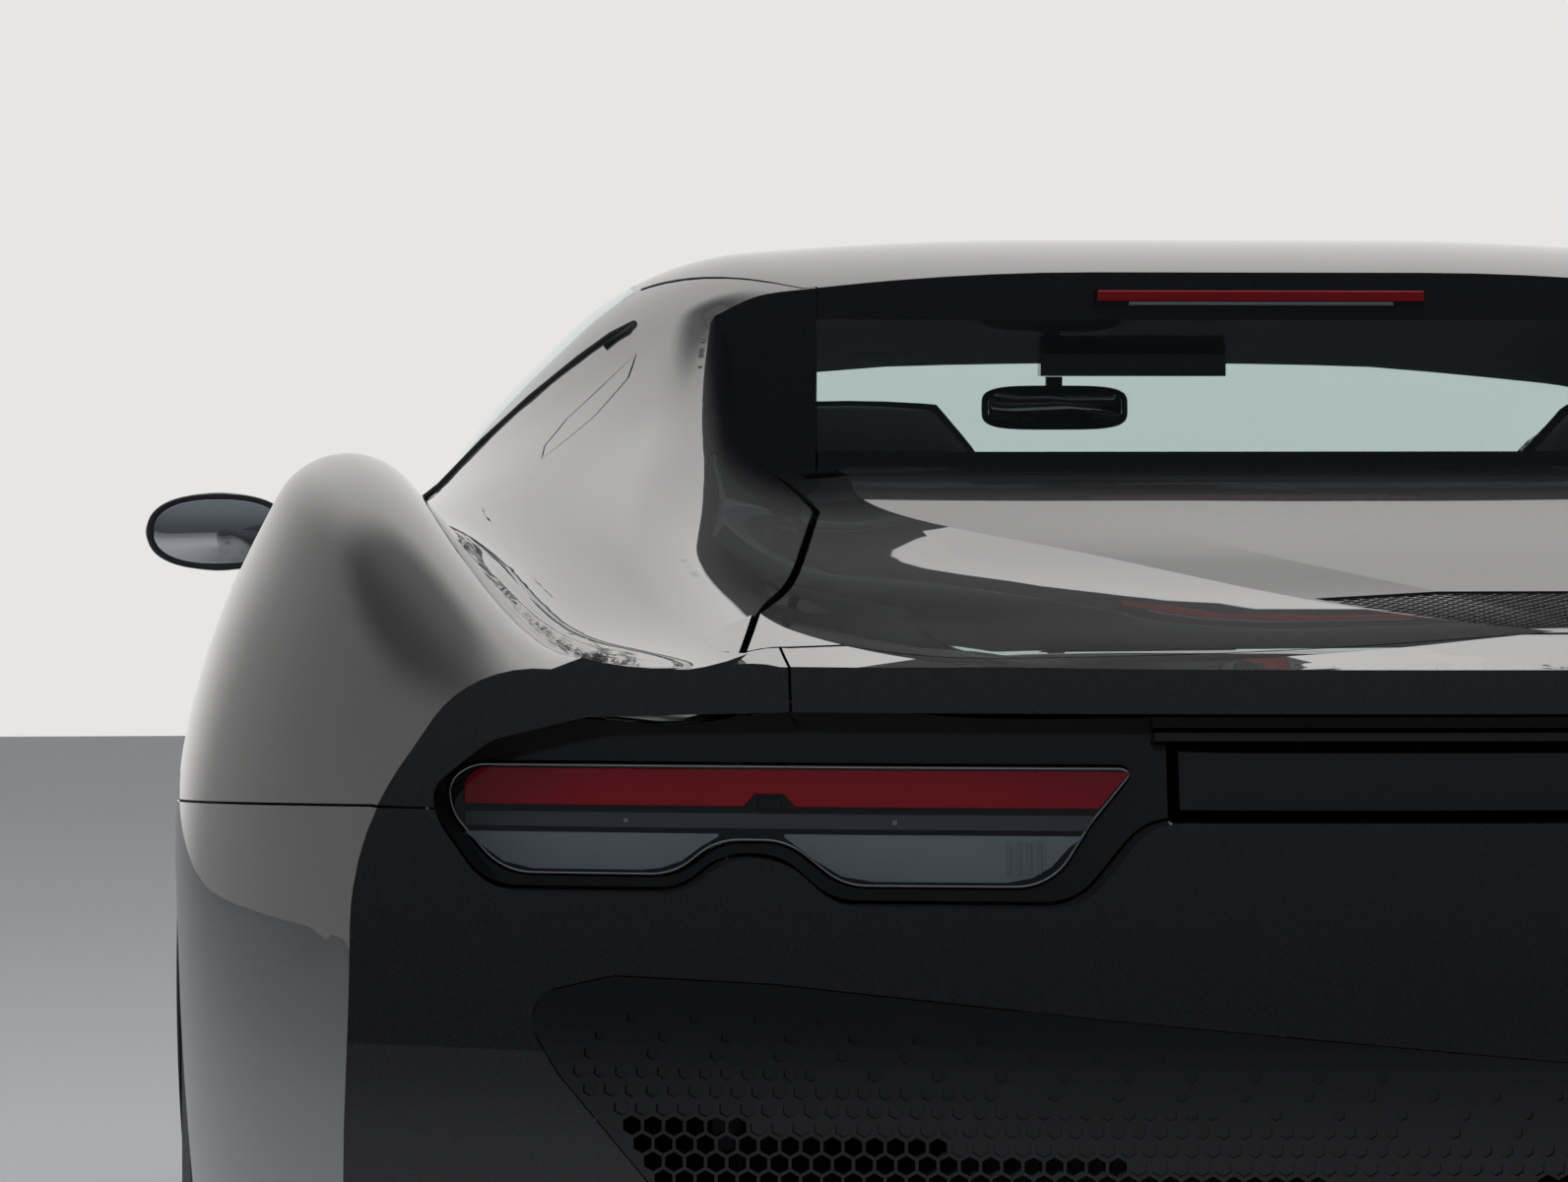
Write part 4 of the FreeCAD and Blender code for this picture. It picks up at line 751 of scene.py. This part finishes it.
TAIL_TOP = [0, .116, .4, .6, .7, .75], [.62, .626, .652, .672, .676, .66]
TAIL_PITCH, TAIL_ROW, FADE_HEIGHT = 0.013, 0.01126, 0.125
OPEN_CELL, LID_CELL, DIMPLE_DEPTH = (0.84, 0.010), (0.8, 0.008), 0.0025


def tail_hole(x, z):
    """Open cells low down; above them dimples that grow fewer and smaller to the top."""
    if math.hypot(x - EXHAUST[0], z - EXHAUST[1]) < EXHAUST_CLEAR:
        return None, 0
    top = np.interp(x, *TAIL_TOP)
    share = (top - z) / FADE_HEIGHT
    if share > 0.72:
        return OPEN_CELL
    row, column = round(z / TAIL_ROW), round(x / (TAIL_PITCH / 2))
    if share < 0.14 or (share < 0.42 and (row + column // 2) % 3):
        return 0, 0
    return 0.35 + 0.55 * share, DIMPLE_DEPTH


comb_black = coated("comb_black", (0.003, 0.003, 0.0035), 0.16, vary=0.15)
plates = ([], [])
comb_plate(plates, TAIL_MESH, TAIL_PITCH, tail_place, tail_hole)
for outline in NOSE_MESHES:
    comb_plate(plates, outline, 0.018, nose_place, lambda x, z: OPEN_CELL)
comb = add_piece("honeycomb_plates", *plates, comb_black, "body", smooth=False)
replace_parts(comb, "grilles")


def lid_place(x, y, depth):
    """Point on the lid's vent, a depth below the lid."""
    level = min(hit.z for hit in cast(scoop_patches, (abs(x), y, 0.5), (0, 0, 1)))
    return (x, y, level - depth - 0.0012)


vertices, faces = [], []
comb_plate((vertices, faces), LID_MESH, 0.0105, lid_place, lambda x, y: LID_CELL)
vent = add_piece("vent_plate", vertices, [f[::-1] for f in faces], comb_black, "engine_lid", smooth=False)
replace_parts(vent, "deck_mesh")


# The windows are laminated glass with a light green tint, set into the frame and the doors.
# Seen square on they are almost clear, and at a low angle they mirror what stands around them.
def window_glass(name, tint):
    def look(place):
        front = 1.0 - place.node("NewGeometry", out=6)
        edge = place.node("Fresnel", {}, {"IOR": 1.5}) * front
        clear = place.node("BsdfTransparent", {}, {"Color": tint})
        gloss = place.node("BsdfPrincipled", {}, {"Base Color": (0.9, 0.95, 0.93, 1), "Metallic": 1.0,
                                                  "Roughness": 0.01 + grain(place, 6.0) * 0.01})
        return place.node("MixShader", {}, {0: edge, 1: clear, 2: gloss})

    return finish(name, look)


dress(window_glass("screen_glass", (0.86, 0.935, 0.93, 1)), "windscreen")
dress(window_glass("side_glass", (0.78, 0.86, 0.85, 1)), "door_glass_left", "door_glass_right")
dress(window_glass("back_glass", (0.94, 0.965, 0.962, 1)), "rear_window")


# Each tail lamp is a dark smoked lens with a red bar along its top and two clear lobes below.
# A thin bright bead runs round the lens, and the third brake lamp sits under the roof's lip.
lamp_smoke = coated("lamp_smoke", (0.004, 0.004, 0.005), 0.05)
lamp_red = coated("lamp_red", (0.20, 0.002, 0.006), 0.08, vary=0.25)
lamp_clear = coated("lamp_clear", (0.115, 0.140, 0.155), 0.10, vary=0.2)
lamp_grey = coated("lamp_grey", (0.036, 0.040, 0.048), 0.08)
lamp_bead = coated("lamp_bead", (0.3, 0.3, 0.31), 0.2, metallic=0.9)
panel_from("tail_lamps", lamp_smoke, reach=0.05, ease=0.0012)
LENS_DEPTH = 0.026


def both_sides(part):
    """A part of the right side and its mirror image, in one mesh."""
    store = ([], [])
    for sign in (1, -1):
        add_to(store, part, sign=sign)
    return store


def lens_pad(name, top, bottom, material, lift, edge=0.0012):
    """A moulded pad between two lines of (x, z), on both tail lamps, standing a little out of the lens."""
    xs = sorted({x for x, z in top + bottom} | set(np.arange(top[0][0], top[-1][0], 0.008)))
    start, end = xs[0], xs[-1]
    columns = [(start, 1), (start + edge, 0)] + [(x, 0) for x in xs if start + 2 * edge < x < end - 2 * edge]
    columns += [(end - edge, 0), (end, 1)]
    vertices = []
    for x, side in columns:
        high_z = np.interp(x, *zip(*top))
        low_z = min(np.interp(x, *zip(*bottom)), high_z - 3 * edge)
        rows = [(low_z, 1), (low_z + edge, 0), ((low_z + high_z) / 2, 0), (high_z - edge, 0), (high_z, 1)]
        vertices += [tail_place(x, z, LENS_DEPTH + 0.002 if side or rim else LENS_DEPTH - lift)
                     for z, rim in rows]
    faces = [quad[::-1] for quad in lattice(len(columns), len(rows), ring=False)]
    return add_piece(name, *both_sides((vertices, faces)), material, "body", smooth=False)


lens_pad("lamp_red_bars", [(.3755, .8055), (.779, .8055), (.787, .801), (.7915, .793)],
         [(.3755, .8035), (.396, .7805), (.584, .7805), (.591, .7885), (.609, .7885), (.616, .7805),
          (.7915, .7805)], lamp_red, 0.0016)
lens_pad("lamp_strips", [(.398, .7780), (.7915, .7780)], [(.398, .7765), (.404, .7665), (.7905, .7665)],
         lamp_grey, 0.0010)
lens_pad("lamp_outer_lobes", [(.631, .7650), (.7905, .7650)],
         [(.631, .7620), (.643, .7550), (.655, .7460), (.668, .7412), (.680, .7400), (.748, .7400),
          (.766, .7440), (.780, .7540), (.7905, .7630)], lamp_clear, 0.0014)
lens_pad("lamp_inner_lobes", [(.406, .7650), (.592, .7650)],
         [(.406, .7630), (.415, .7560), (.426, .7440), (.438, .7370), (.454, .7340), (.536, .7340),
          (.556, .7370), (.574, .7480), (.592, .7620)], lamp_clear, 0.0014)


def small_pads(name, boxes, material, lift, edge=0.0012):
    """Numbered pads from (left, right, bottom, top, more lift)."""
    for number, (left, right, bottom, top, more) in enumerate(boxes, 1):
        lens_pad(f"{name}_{number}", [(left, top), (right, top)], [(left, bottom), (right, bottom)], material,
                 lift + more, edge)


RIBS = [(.432 + .0065 * index, .4344 + .0065 * index, .7400, .7610, 0) for index in range(4)]
DOTS = [(.5205, .5247, .7700, .7740, 0), (.6875, .6917, .7700, .7740, 0)]
STEPS_DOWN = [(.0005, .362, .8405, .8480, .000), (.0005, .362, .8310, .8400, .004),
              (.0005, .362, .8230, .8305, .009)]
small_pads("lamp_ribs", RIBS, lamp_bead, 0.0024, 0.0006)
lens_pad("lamp_tabs", [(.592, .7880), (.608, .7880)], [(.592, .7790), (.608, .7790)], lamp_smoke, 0.0020)
small_pads("recess_steps", STEPS_DOWN, gloss_black, 0)
small_pads("lamp_dots", DOTS, lamp_bead, 0.0016, 0.0006)


def bead_round(name, outline, depth, radius, material):
    """A thin bead along a closed outline on the tail, on both sides."""
    points, vertices = [], []
    for (ax, az), (bx, bz) in zip(outline, outline[1:] + outline[:1]):
        steps = max(1, round(math.hypot(bx - ax, bz - az) / 0.02))
        points += [(ax + (bx - ax) * i / steps, az + (bz - az) * i / steps) for i in range(steps)]
    for i, (x, z) in enumerate(points):
        (ax, az), (bx, bz) = points[i - 1], points[(i + 1) % len(points)]
        length = math.hypot(bx - ax, bz - az)
        out_x, out_z = (bz - az) / length, -(bx - ax) / length
        for angle in (math.pi / 3 * turn for turn in range(6)):
            out = radius * math.cos(angle)
            vertices.append(tail_place(x + out * out_x, z + out * out_z, depth - radius * math.sin(angle)))
    faces = [quad[::-1] for quad in lattice(len(points), 6, loop=True)]
    return add_piece(name, *both_sides((vertices, faces)), material, "body")


LENS_EDGE = [(.3755, .8035), (.4015, .7720), (.4265, .7325), (.5550, .7325), (.5895, .7605), (.6335, .7605),
             (.6605, .7385), (.767, .7385), (.7985, .7755), (.8005, .7955), (.7855, .8065), (.3800, .8065)]
lens_line = rounded_section(LENS_EDGE, (), most=0.040)[0].tolist()
bead_round("lamp_beads", lens_line, LENS_DEPTH, 0.0009, lamp_bead)


def slab(start, end, c):
    """Vertices and faces of a box with its rear edges chamfered by c."""
    (x0, y0, z0), (x1, y1, z1) = start, end
    vertices = [(x, y1, z) for z in (z0, z1) for x in (x0, x1)]
    vertices += [(x, y0 + c, z) for z in (z0, z1) for x in (x0, x1)]
    vertices += [(x, y0, z) for z in (z0 + c, z1 - c) for x in (x0 + c, x1 - c)]
    faces = []
    for ring in (0, 4):
        a = [ring, ring + 1, ring + 3, ring + 2]
        faces += [(a[i], a[(i + 1) % 4], a[(i + 1) % 4] + 4, a[i] + 4) for i in range(4)]
    faces += [(8, 9, 11, 10), (0, 2, 3, 1)]
    return vertices, faces


bar = slab((-.148, -.4600, 1.1262), (.148, -.4575, 1.1362), .001)
foot = slab((-.120, -.4600, 1.1225), (.120, -.4575, 1.1260), .0008)
add_piece("brake_bar", *bar, lamp_red, "body", smooth=False)
add_piece("brake_bar_foot", *foot, lamp_clear, "body", smooth=False)


# The headlamps are smoked lenses set flush into the wings.
# A bright light guide runs round the inside of each, with two projector lenses behind it.
HEADLAMP_EDGE = [(.640, 1.945), (.755, 1.918), (.890, 1.700), (.874, 1.652), (.766, 1.770), (.625, 1.905)]
POD_PLACES = [(.700, 1.895), (.765, 1.832)]
POD_RINGS = ((0.024, 0.0022), (0.015, 0.0016))  # columns: radius, thickness
LAMP_LIFT = 0.0002
panel_from("headlamps", lamp_smoke, ease=0.0012)


def on_top(x, y, lift):
    """Point on the car's upper skin, raised a little; x may be on either side."""
    return (x, y, max(hit.z for hit in cast(body_patches, (abs(x), y, 1.6), (0, 0, -1))) + lift)


def cord_round(points, radius, sides=6, closed=True):
    """A thin tube through points."""
    points = np.array(points)
    count = len(points)
    step = np.roll(points, -1, axis=0) - np.roll(points, 1, axis=0)
    if not closed:
        step[0], step[-1] = points[1] - points[0], points[-1] - points[-2]
    step = unit(step)
    aside = unit(np.cross(step, (0.31, 0.17, 0.94)))
    other = np.cross(step, aside)
    angles = (2 * math.pi * np.arange(sides) / sides)[:, None]
    ring = points[:, None] + radius * (aside[:, None] * np.cos(angles) + other[:, None] * np.sin(angles))
    faces = lattice(count, sides, loop=closed) + ([] if closed else caps(count, sides))
    return ring.reshape(-1, 3).tolist(), faces


lamp_guide = coated("lamp_guide", (0.62, 0.64, 0.66), 0.2, coat=1.0)
guides, pods = ([], []), ([], [])
for sign in (-1, 1):
    run = through(np.linspace(0, 1, len(HEADLAMP_EDGE)), HEADLAMP_EDGE, np.linspace(0, 1, 60))
    add_to(guides, cord_round([on_top(sign * x, y, LAMP_LIFT) for x, y in run], 0.0028, 8, closed=False))
    for x, y in POD_PLACES:
        for radius, thick in POD_RINGS:
            turns = np.linspace(0, 2 * math.pi, 37)[:-1]
            ring = [on_top(sign * (x + radius * math.cos(a)), y + radius * math.sin(a), LAMP_LIFT) for a in turns]
            add_to(pods, cord_round(ring, thick))
add_piece("headlamp_guides", *guides, lamp_guide, "body")
add_piece("headlamp_pods", *pods, lamp_bead, "body")


# Each seat is a hard moulded shell with foam pads in black leather, sewn in channels and piped at the edges.
# The pads are pressed and pulled in at their seams, and a lighter thread runs along them.
def hide(place):
    """Leather: fine cells of grain, a soft sheen and a slight wander of colour."""
    cells = place.node("TexVoronoi", {"feature": "DISTANCE_TO_EDGE"}, {"Vector": place, "Scale": 420.0})
    folds = grain(place, 40.0, 3.0)
    height = cells.between(0.0, 0.25) * 0.7 + folds * 0.3
    return {"Base Color": folds.blend(*tones((0.016, 0.015, 0.015), 0.75, 1.2)), "Roughness": 0.42 + folds * 0.14,
            "Normal": height.bump(0.45, 0.0006), "Sheen Weight": 0.08, "Sheen Roughness": 0.4}


hide_black = finish("hide_black", hide)
piping = coated("piping", (0.03, 0.028, 0.028), 0.45, bump=0.2, bump_scale=900.0)
thread = coated("thread", (0.16, 0.155, 0.15), 0.7)
SEAT_X = 0.37
PADS = [  # columns: name, spine of (y, z, half width, half thickness), offset across, channels
    ("cushion", ((-.235, .268, .140, .028), (-.10, .272, .150, .034), (.06, .300, .152, .036),
                 (.165, .318, .146, .030)), 0, 3),
    ("thigh_roll", ((-.20, .338, .030, .030), (-.02, .356, .033, .034), (.130, .350, .032, .030)), .190, 0),
    ("back", ((-.200, .395, .128, .030), (-.262, .560, .140, .038), (-.316, .720, .142, .036),
              (-.352, .850, .120, .028)), 0, 3),
    ("side_roll", ((-.180, .450, .034, .044), (-.206, .580, .036, .048), (-.268, .770, .030, .038)), .192, 0),
    ("head", ((-.360, .890, .112, .028), (-.380, .960, .096, .034), (-.390, 1.020, .066, .026)), 0, 0),
]
ROWS, AROUND = 28, 48


def along_spine(rows, count):
    """Smooth rows of values along a spine, and the direction of its line, as its first two values say."""
    values = through(np.linspace(0, 1, len(rows)), rows, np.linspace(0, 1, count))
    return values, unit(np.gradient(values[:, :2], axis=0))


def signed_power(value, power):
    return math.copysign(abs(value) ** power, value)


def crowned(spine, offset, channels):
    """Closed crowned pad along a spine of (y, z): it swells in the middle and draws in at its ends and seams."""
    values, run = along_spine(spine, ROWS)
    vertices = []
    for i, (y, z, half, thick) in enumerate(values):
        taper = (1 - abs(2 * i / (ROWS - 1) - 1) ** 6) ** 0.5
        for k in range(AROUND):
            angle = 2 * math.pi * k / AROUND
            across, face = signed_power(math.cos(angle), 0.55), signed_power(math.sin(angle), 0.8)
            seams = [(c - (channels - 1) / 2) * 0.5 for c in range(channels)]
            sunk = 1.0 - sum(0.22 * math.exp(-((across - seam) / 0.035) ** 2) * abs(face) for seam in seams)
            out = face * thick * max(taper, 0.12) * sunk
            x = offset + across * half * (0.94 + 0.06 * taper)
            vertices.append((x, y - out * run[i, 1], z + out * run[i, 0]))
    return vertices, lattice(ROWS, AROUND) + caps(ROWS, AROUND)


def seat_shell():
    """Hard back and base of a seat: a curved sheet with rounded, turned edges."""
    spine = [(.17, .272), (.05, .252), (-.12, .234), (-.245, .240), (-.305, .330), (-.340, .50),
             (-.375, .70), (-.408, .86), (-.425, .98), (-.418, 1.035)]
    widths = [.185, .195, .200, .200, .205, .215, .212, .180, .125, .085]
    shape = [(-1, .055), (-1, .02), (-.96, .004), (-.8, 0), (-.4, -.006), (0, -.008), (.4, -.006), (.8, 0),
             (.96, .004), (1, .02), (1, .055)]
    values, run = along_spine([(y, z, width) for (y, z), width in zip(spine, widths)], 46)
    wide, high = len(shape), len(values)
    vertices = [(x * (half - side * (abs(lift) > .01)), y + run[i, 1] * (lift + side),
                 z - run[i, 0] * (lift + side))
                for side in (0, 0.004) for i, (y, z, half) in enumerate(values) for x, lift in shape]
    faces = [(a, d, c, b) for a, b, c, d in lattice(high, wide, ring=False)]
    faces += [tuple(high * wide + v for v in face[::-1]) for face in faces]
    edge = list(range(wide)) + [i * wide + wide - 1 for i in range(1, high)]
    edge += [(high - 1) * wide + k for k in range(wide - 2, -1, -1)]
    edge += [i * wide for i in range(high - 2, 0, -1)]
    faces += [(a, b, b + high * wide, a + high * wide) for a, b in zip(edge, edge[1:] + edge[:1])]
    return vertices, [face[::-1] for face in faces]


shells, cords, stitches = ([], []), ([], []), ([], [])
for seat_side, seat_sign in SIDES:
    seat_x = seat_sign * SEAT_X
    add_to(shells, seat_shell(), (seat_x, 0, 0))
    for name, spine, offset, channels in PADS:
        for sign in ((-1, 1) if offset else (1,)):
            vertices, faces = crowned(spine, sign * offset, channels)
            vertices = [(x + seat_x, y, z) for x, y, z in vertices]
            side_name = ("", "_outer", "_inner")[sign if offset else 0]
            pad = add_piece(f"seat_{name}{side_name}_{seat_side}", vertices, [f[::-1] for f in faces],
                            hide_black, "body")
            ring = [vertices[i * AROUND] for i in range(2, ROWS - 2)]
            ring += [vertices[i * AROUND + AROUND // 2] for i in range(ROWS - 3, 1, -1)]
            add_to(cords, cord_round(ring, 0.0022))
            for column in ((6, 12, 18) if channels else ()):
                run = [np.array(vertices[i * AROUND + column]) for i in range(3, ROWS - 2)]
                for first, last in zip(run, run[1:]):
                    for share in (0.15, 0.6):
                        stitch = [first + (last - first) * share, first + (last - first) * (share + 0.25)]
                        add_to(stitches, cord_round(stitch, 0.0006, 5, closed=False))
seat_frame = add_piece("seat_shells", *shells, gloss_black, "body")
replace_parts(seat_frame, "seats")
add_piece("seat_piping", *cords, piping, "body")
add_piece("seat_stitching", *stitches, thread, "body")


# The dashboard and console are moulded panels wrapped in the same leather as the seats.
# The steering wheel is covered in it too, and shows through the windows above the dashboard.
dress(hide_black, "dashboard", "steering_wheel")


# The cabin mirror is a rounded housing on a stem under the header; the door mirrors stand on stalks.
# Each holds a silvered glass behind a narrow dark rim.
def pillow(middle, half_x, half_z, levels, power=4.0, around=56):
    """Closed rounded block facing backward; levels are (y, share of its size)."""
    vertices = []
    for y, share in levels:
        for angle in (2 * math.pi * k / around for k in range(around)):
            x, z = signed_power(math.cos(angle), 2 / power), signed_power(math.sin(angle), 2 / power)
            vertices.append((middle[0] + half_x * share * x, y, middle[1] + half_z * share * z))
    return vertices, [face[::-1] for face in lattice(len(levels), around) + caps(len(levels), around)]


silvered = coated("silvered", (0.55, 0.57, 0.6), 0.03, metallic=1.0)
SHELL_LEVELS = ((.3262, .93), (.3275, .985), (.3300, 1), (.3360, .98), (.3420, .86), (.3440, .6))
CABIN_GLASS_LEVELS = ((.3255, .98), (.3262, 1), (.3270, 1))
housing = pillow((-.08, 1.030), .075, .0225, SHELL_LEVELS)
add_to(housing, slab((-.088, .3285, 1.048), (-.072, .3415, 1.0615), .002))
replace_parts(add_piece("cabin_mirror_shell", *housing, satin_black, "body"), "cabin_mirror")
cabin_glass = pillow((-.08, 1.030), .0690, .0185, CABIN_GLASS_LEVELS)
add_piece("cabin_mirror_glass", *cabin_glass, silvered, "body")
dress(lacquer, "door_mirror_left", "door_mirror_right")
RIM_LEVELS = ((.5546, .90), (.5538, .93), (.5538, .985), (.5552, 1.0), (.5600, 1.0))
GLASS_LEVELS = ((.5536, .98), (.5541, 1.0), (.5552, 1.0))
for side, sign in SIDES:
    middle = (sign * .925, .901)
    add_piece(f"mirror_rim_{side}", *pillow(middle, .0745, .0395, RIM_LEVELS, 2.4), satin_black, f"door_{side}")
    add_piece(f"mirror_glass_{side}", *pillow(middle, .0675, .0335, GLASS_LEVELS, 2.4), silvered, f"door_{side}")


# Rubber seals run round each side window's rear corner; each door's flush handle has its fine gap painted as dark
# shade.
# Two wipers rest on the cowl.
rubber_black = coated("rubber_black", (0.006, 0.006, 0.006), 0.6)


def side_line(points, lift):
    """Points of (y, z) carried onto the car's right flank, a little out of it."""
    return [(max(hit.x for hit in cast(body_patches, (1.3, y, z), (-1, 0, 0))) + lift, y, z) for y, z in points]


SEAL = [(-.335, .930), (-.345, .960), (-.355, 1.000), (-.362, 1.040), (-.368, 1.075), (-.375, 1.096),
        (-.388, 1.106), (-.400, 1.100), (-.402, 1.085)]
GRIP = [(-.06, .700), (-.06, .716), (-.08, .722), (-.21, .728), (-.228, .720), (-.228, .706), (-.21, .700),
        (-.08, .694)]
for side, sign in SIDES:
    line = [(sign * x, y, z) for x, y, z in side_line(SEAL, 0.0)]
    add_piece(f"window_seal_{side}", *cord_round(line, 0.004, 8, closed=False), rubber_black, "body")
    # The dark cord round each handle is painted shade for its fine gap, made in the seals' black rubber.
    line = [(sign * x, y, z) for x, y, z in side_line(GRIP, -0.0004)]
    add_piece(f"handle_gap_shade_{side}", *cord_round(line, 0.0016), rubber_black, f"door_{side}")

BLADES = [[(-.52, .985), (-.30, 1.062), (-.02, 1.085)], [(.05, 1.085), (.33, 1.055), (.54, .975)]]
wipers = ([], [])
for blade in BLADES:
    line = [on_top(x, y, 0.006) for x, y in blade]
    add_to(wipers, cord_round(through([0, 0.5, 1], line, np.linspace(0, 1, 14)), 0.0045, 8, closed=False))
add_piece("wipers", *wipers, rubber_black, "body")


# The exhaust tips are polished steel tubes that end in the honeycomb.
# The engine shows only as its cast block, under the lid.
polished_steel = coated("polished_steel", (0.5, 0.49, 0.47), 0.2, metallic=1.0)
dress(polished_steel, "exhaust_tips")
dress(cast_grey, "engine_block")


# The studio: a pale floor, a bright wall ahead of the car, soft lamps and the camera of the photo's view.
# The wall's glow fades to the left and upwards for what reflects it, and it can't be seen from behind.
def floor_look(place):
    return {"Base Color": grain(place, 0.6).blend(*tones((0.5, 0.5, 0.5), 0.99, 1)), "Roughness": 0.7}


def wall_look(place):
    """Glows for the camera and for what reflects it, is plain paint for all else, and clear from behind."""
    colour = (0.8, 0.79, 0.78)
    shade = grain(place, 0.6).blend(*tones(colour, 0.99, 1))
    paint = place.node("BsdfPrincipled", {}, {"Base Color": shade, "Roughness": 0.7})
    camera, glossy, through_glass = (place.node("LightPath", out=out) for out in (0, 3, 6))
    across, height = place.part(0).between(-6.5, -1.8), place.part(2).between(7.6, 10.5)
    lit = (0.42 + across * 0.58) * (1.0 - height * 0.75)
    strength = place.math("MAXIMUM", lit, camera)
    glow = place.node("Emission", {}, {"Color": colour + (1,), "Strength": strength})
    seen = place.math("MAXIMUM", place.math("MAXIMUM", camera, glossy), through_glass)
    front = place.node("MixShader", {}, {0: seen, 1: paint, 2: glow})
    behind = place.node("NewGeometry", out=6)
    return place.node("MixShader", {}, {0: behind, 1: front, 2: place.node("BsdfTransparent")})


FLOOR = [(-30, -30, 0), (30, -30, 0), (30, 30, 0), (-30, 30, 0)]
WALL = [(-30, 14, -1), (30, 14, -1), (30, 14, 12), (-30, 14, 12)]
floor = mesh_of("floor", FLOOR, [(0, 1, 2, 3)], finish("floor_pale", floor_look))
wall = mesh_of("backdrop", WALL, [(0, 1, 2, 3)], finish("wall_pale", wall_look))

world = bpy.data.worlds.new("studio")
bpy.context.scene.world = world
world.use_nodes = True
tree = world.node_tree
tree.nodes.clear()
start = Shade(tree)
toward = start.node("TexCoord", out=0)
ahead, up = toward.part(1), toward.part(2)
front = ahead.between(-0.35, 0.95)
above = up.between(-0.05, 0.6)
ceiling = up.between(0.62, 0.95)
sky = 0.10 + front * 0.12 + above * 0.14 + ceiling * 0.55
sky = sky.math("MAXIMUM", sky, start.node("LightPath") * 0.8)
tint = front.blend((0.80, 0.86, 0.95, 1), (0.97, 0.96, 0.95, 1))
background = start.node("Background", {}, {"Color": tint, "Strength": sky})
start.node("OutputWorld", {}, {"Surface": background})


def soft_lamp(name, place, aim, width, height, power):
    light = bpy.data.lights.new(name, "AREA")
    light.shape = "RECTANGLE"
    light.size = width
    light.size_y = height
    light.energy = power
    lamp = put_in_scene(name, light)
    lamp.location = place
    lamp.rotation_euler = (Vector(aim) - Vector(place)).to_track_quat("-Z", "Y").to_euler()
    lamp.visible_glossy = False


soft_lamp("ceiling", (0, -1, 6), (0, 0, 0), 8, 6, 260)
soft_lamp("left_wall", (-8, -1, 3), (0, 0, 0.6), 6, 4, 220)
soft_lamp("right_wall", (8, -3, 3.5), (0, 0, 0.6), 5, 3, 120)

camera = bpy.data.cameras.new("photo_view")
view = put_in_scene("photo_view", camera)
bpy.context.scene.camera = view
FOCAL_PIXELS, PICTURE_WIDTH, PICTURE_HEIGHT = 6675.0, 1592, 1200
VANISH_ACROSS, VANISH_DOWN = 168, 403  # where lines along the car meet in the picture
camera.sensor_width = 36.0
camera.lens = camera.sensor_width * FOCAL_PIXELS / PICTURE_WIDTH
camera.clip_start, camera.clip_end = 0.1, 200
view.location = (-0.98, -6.3, 1.04)
yaw = math.atan((PICTURE_WIDTH / 2 - VANISH_ACROSS) / FOCAL_PIXELS)
pitch = math.atan((PICTURE_HEIGHT / 2 - VANISH_DOWN) / FOCAL_PIXELS * math.cos(yaw))
view.rotation_euler = (math.pi / 2 - pitch, 0, -yaw)
bpy.context.scene.view_settings.view_transform = "Standard"
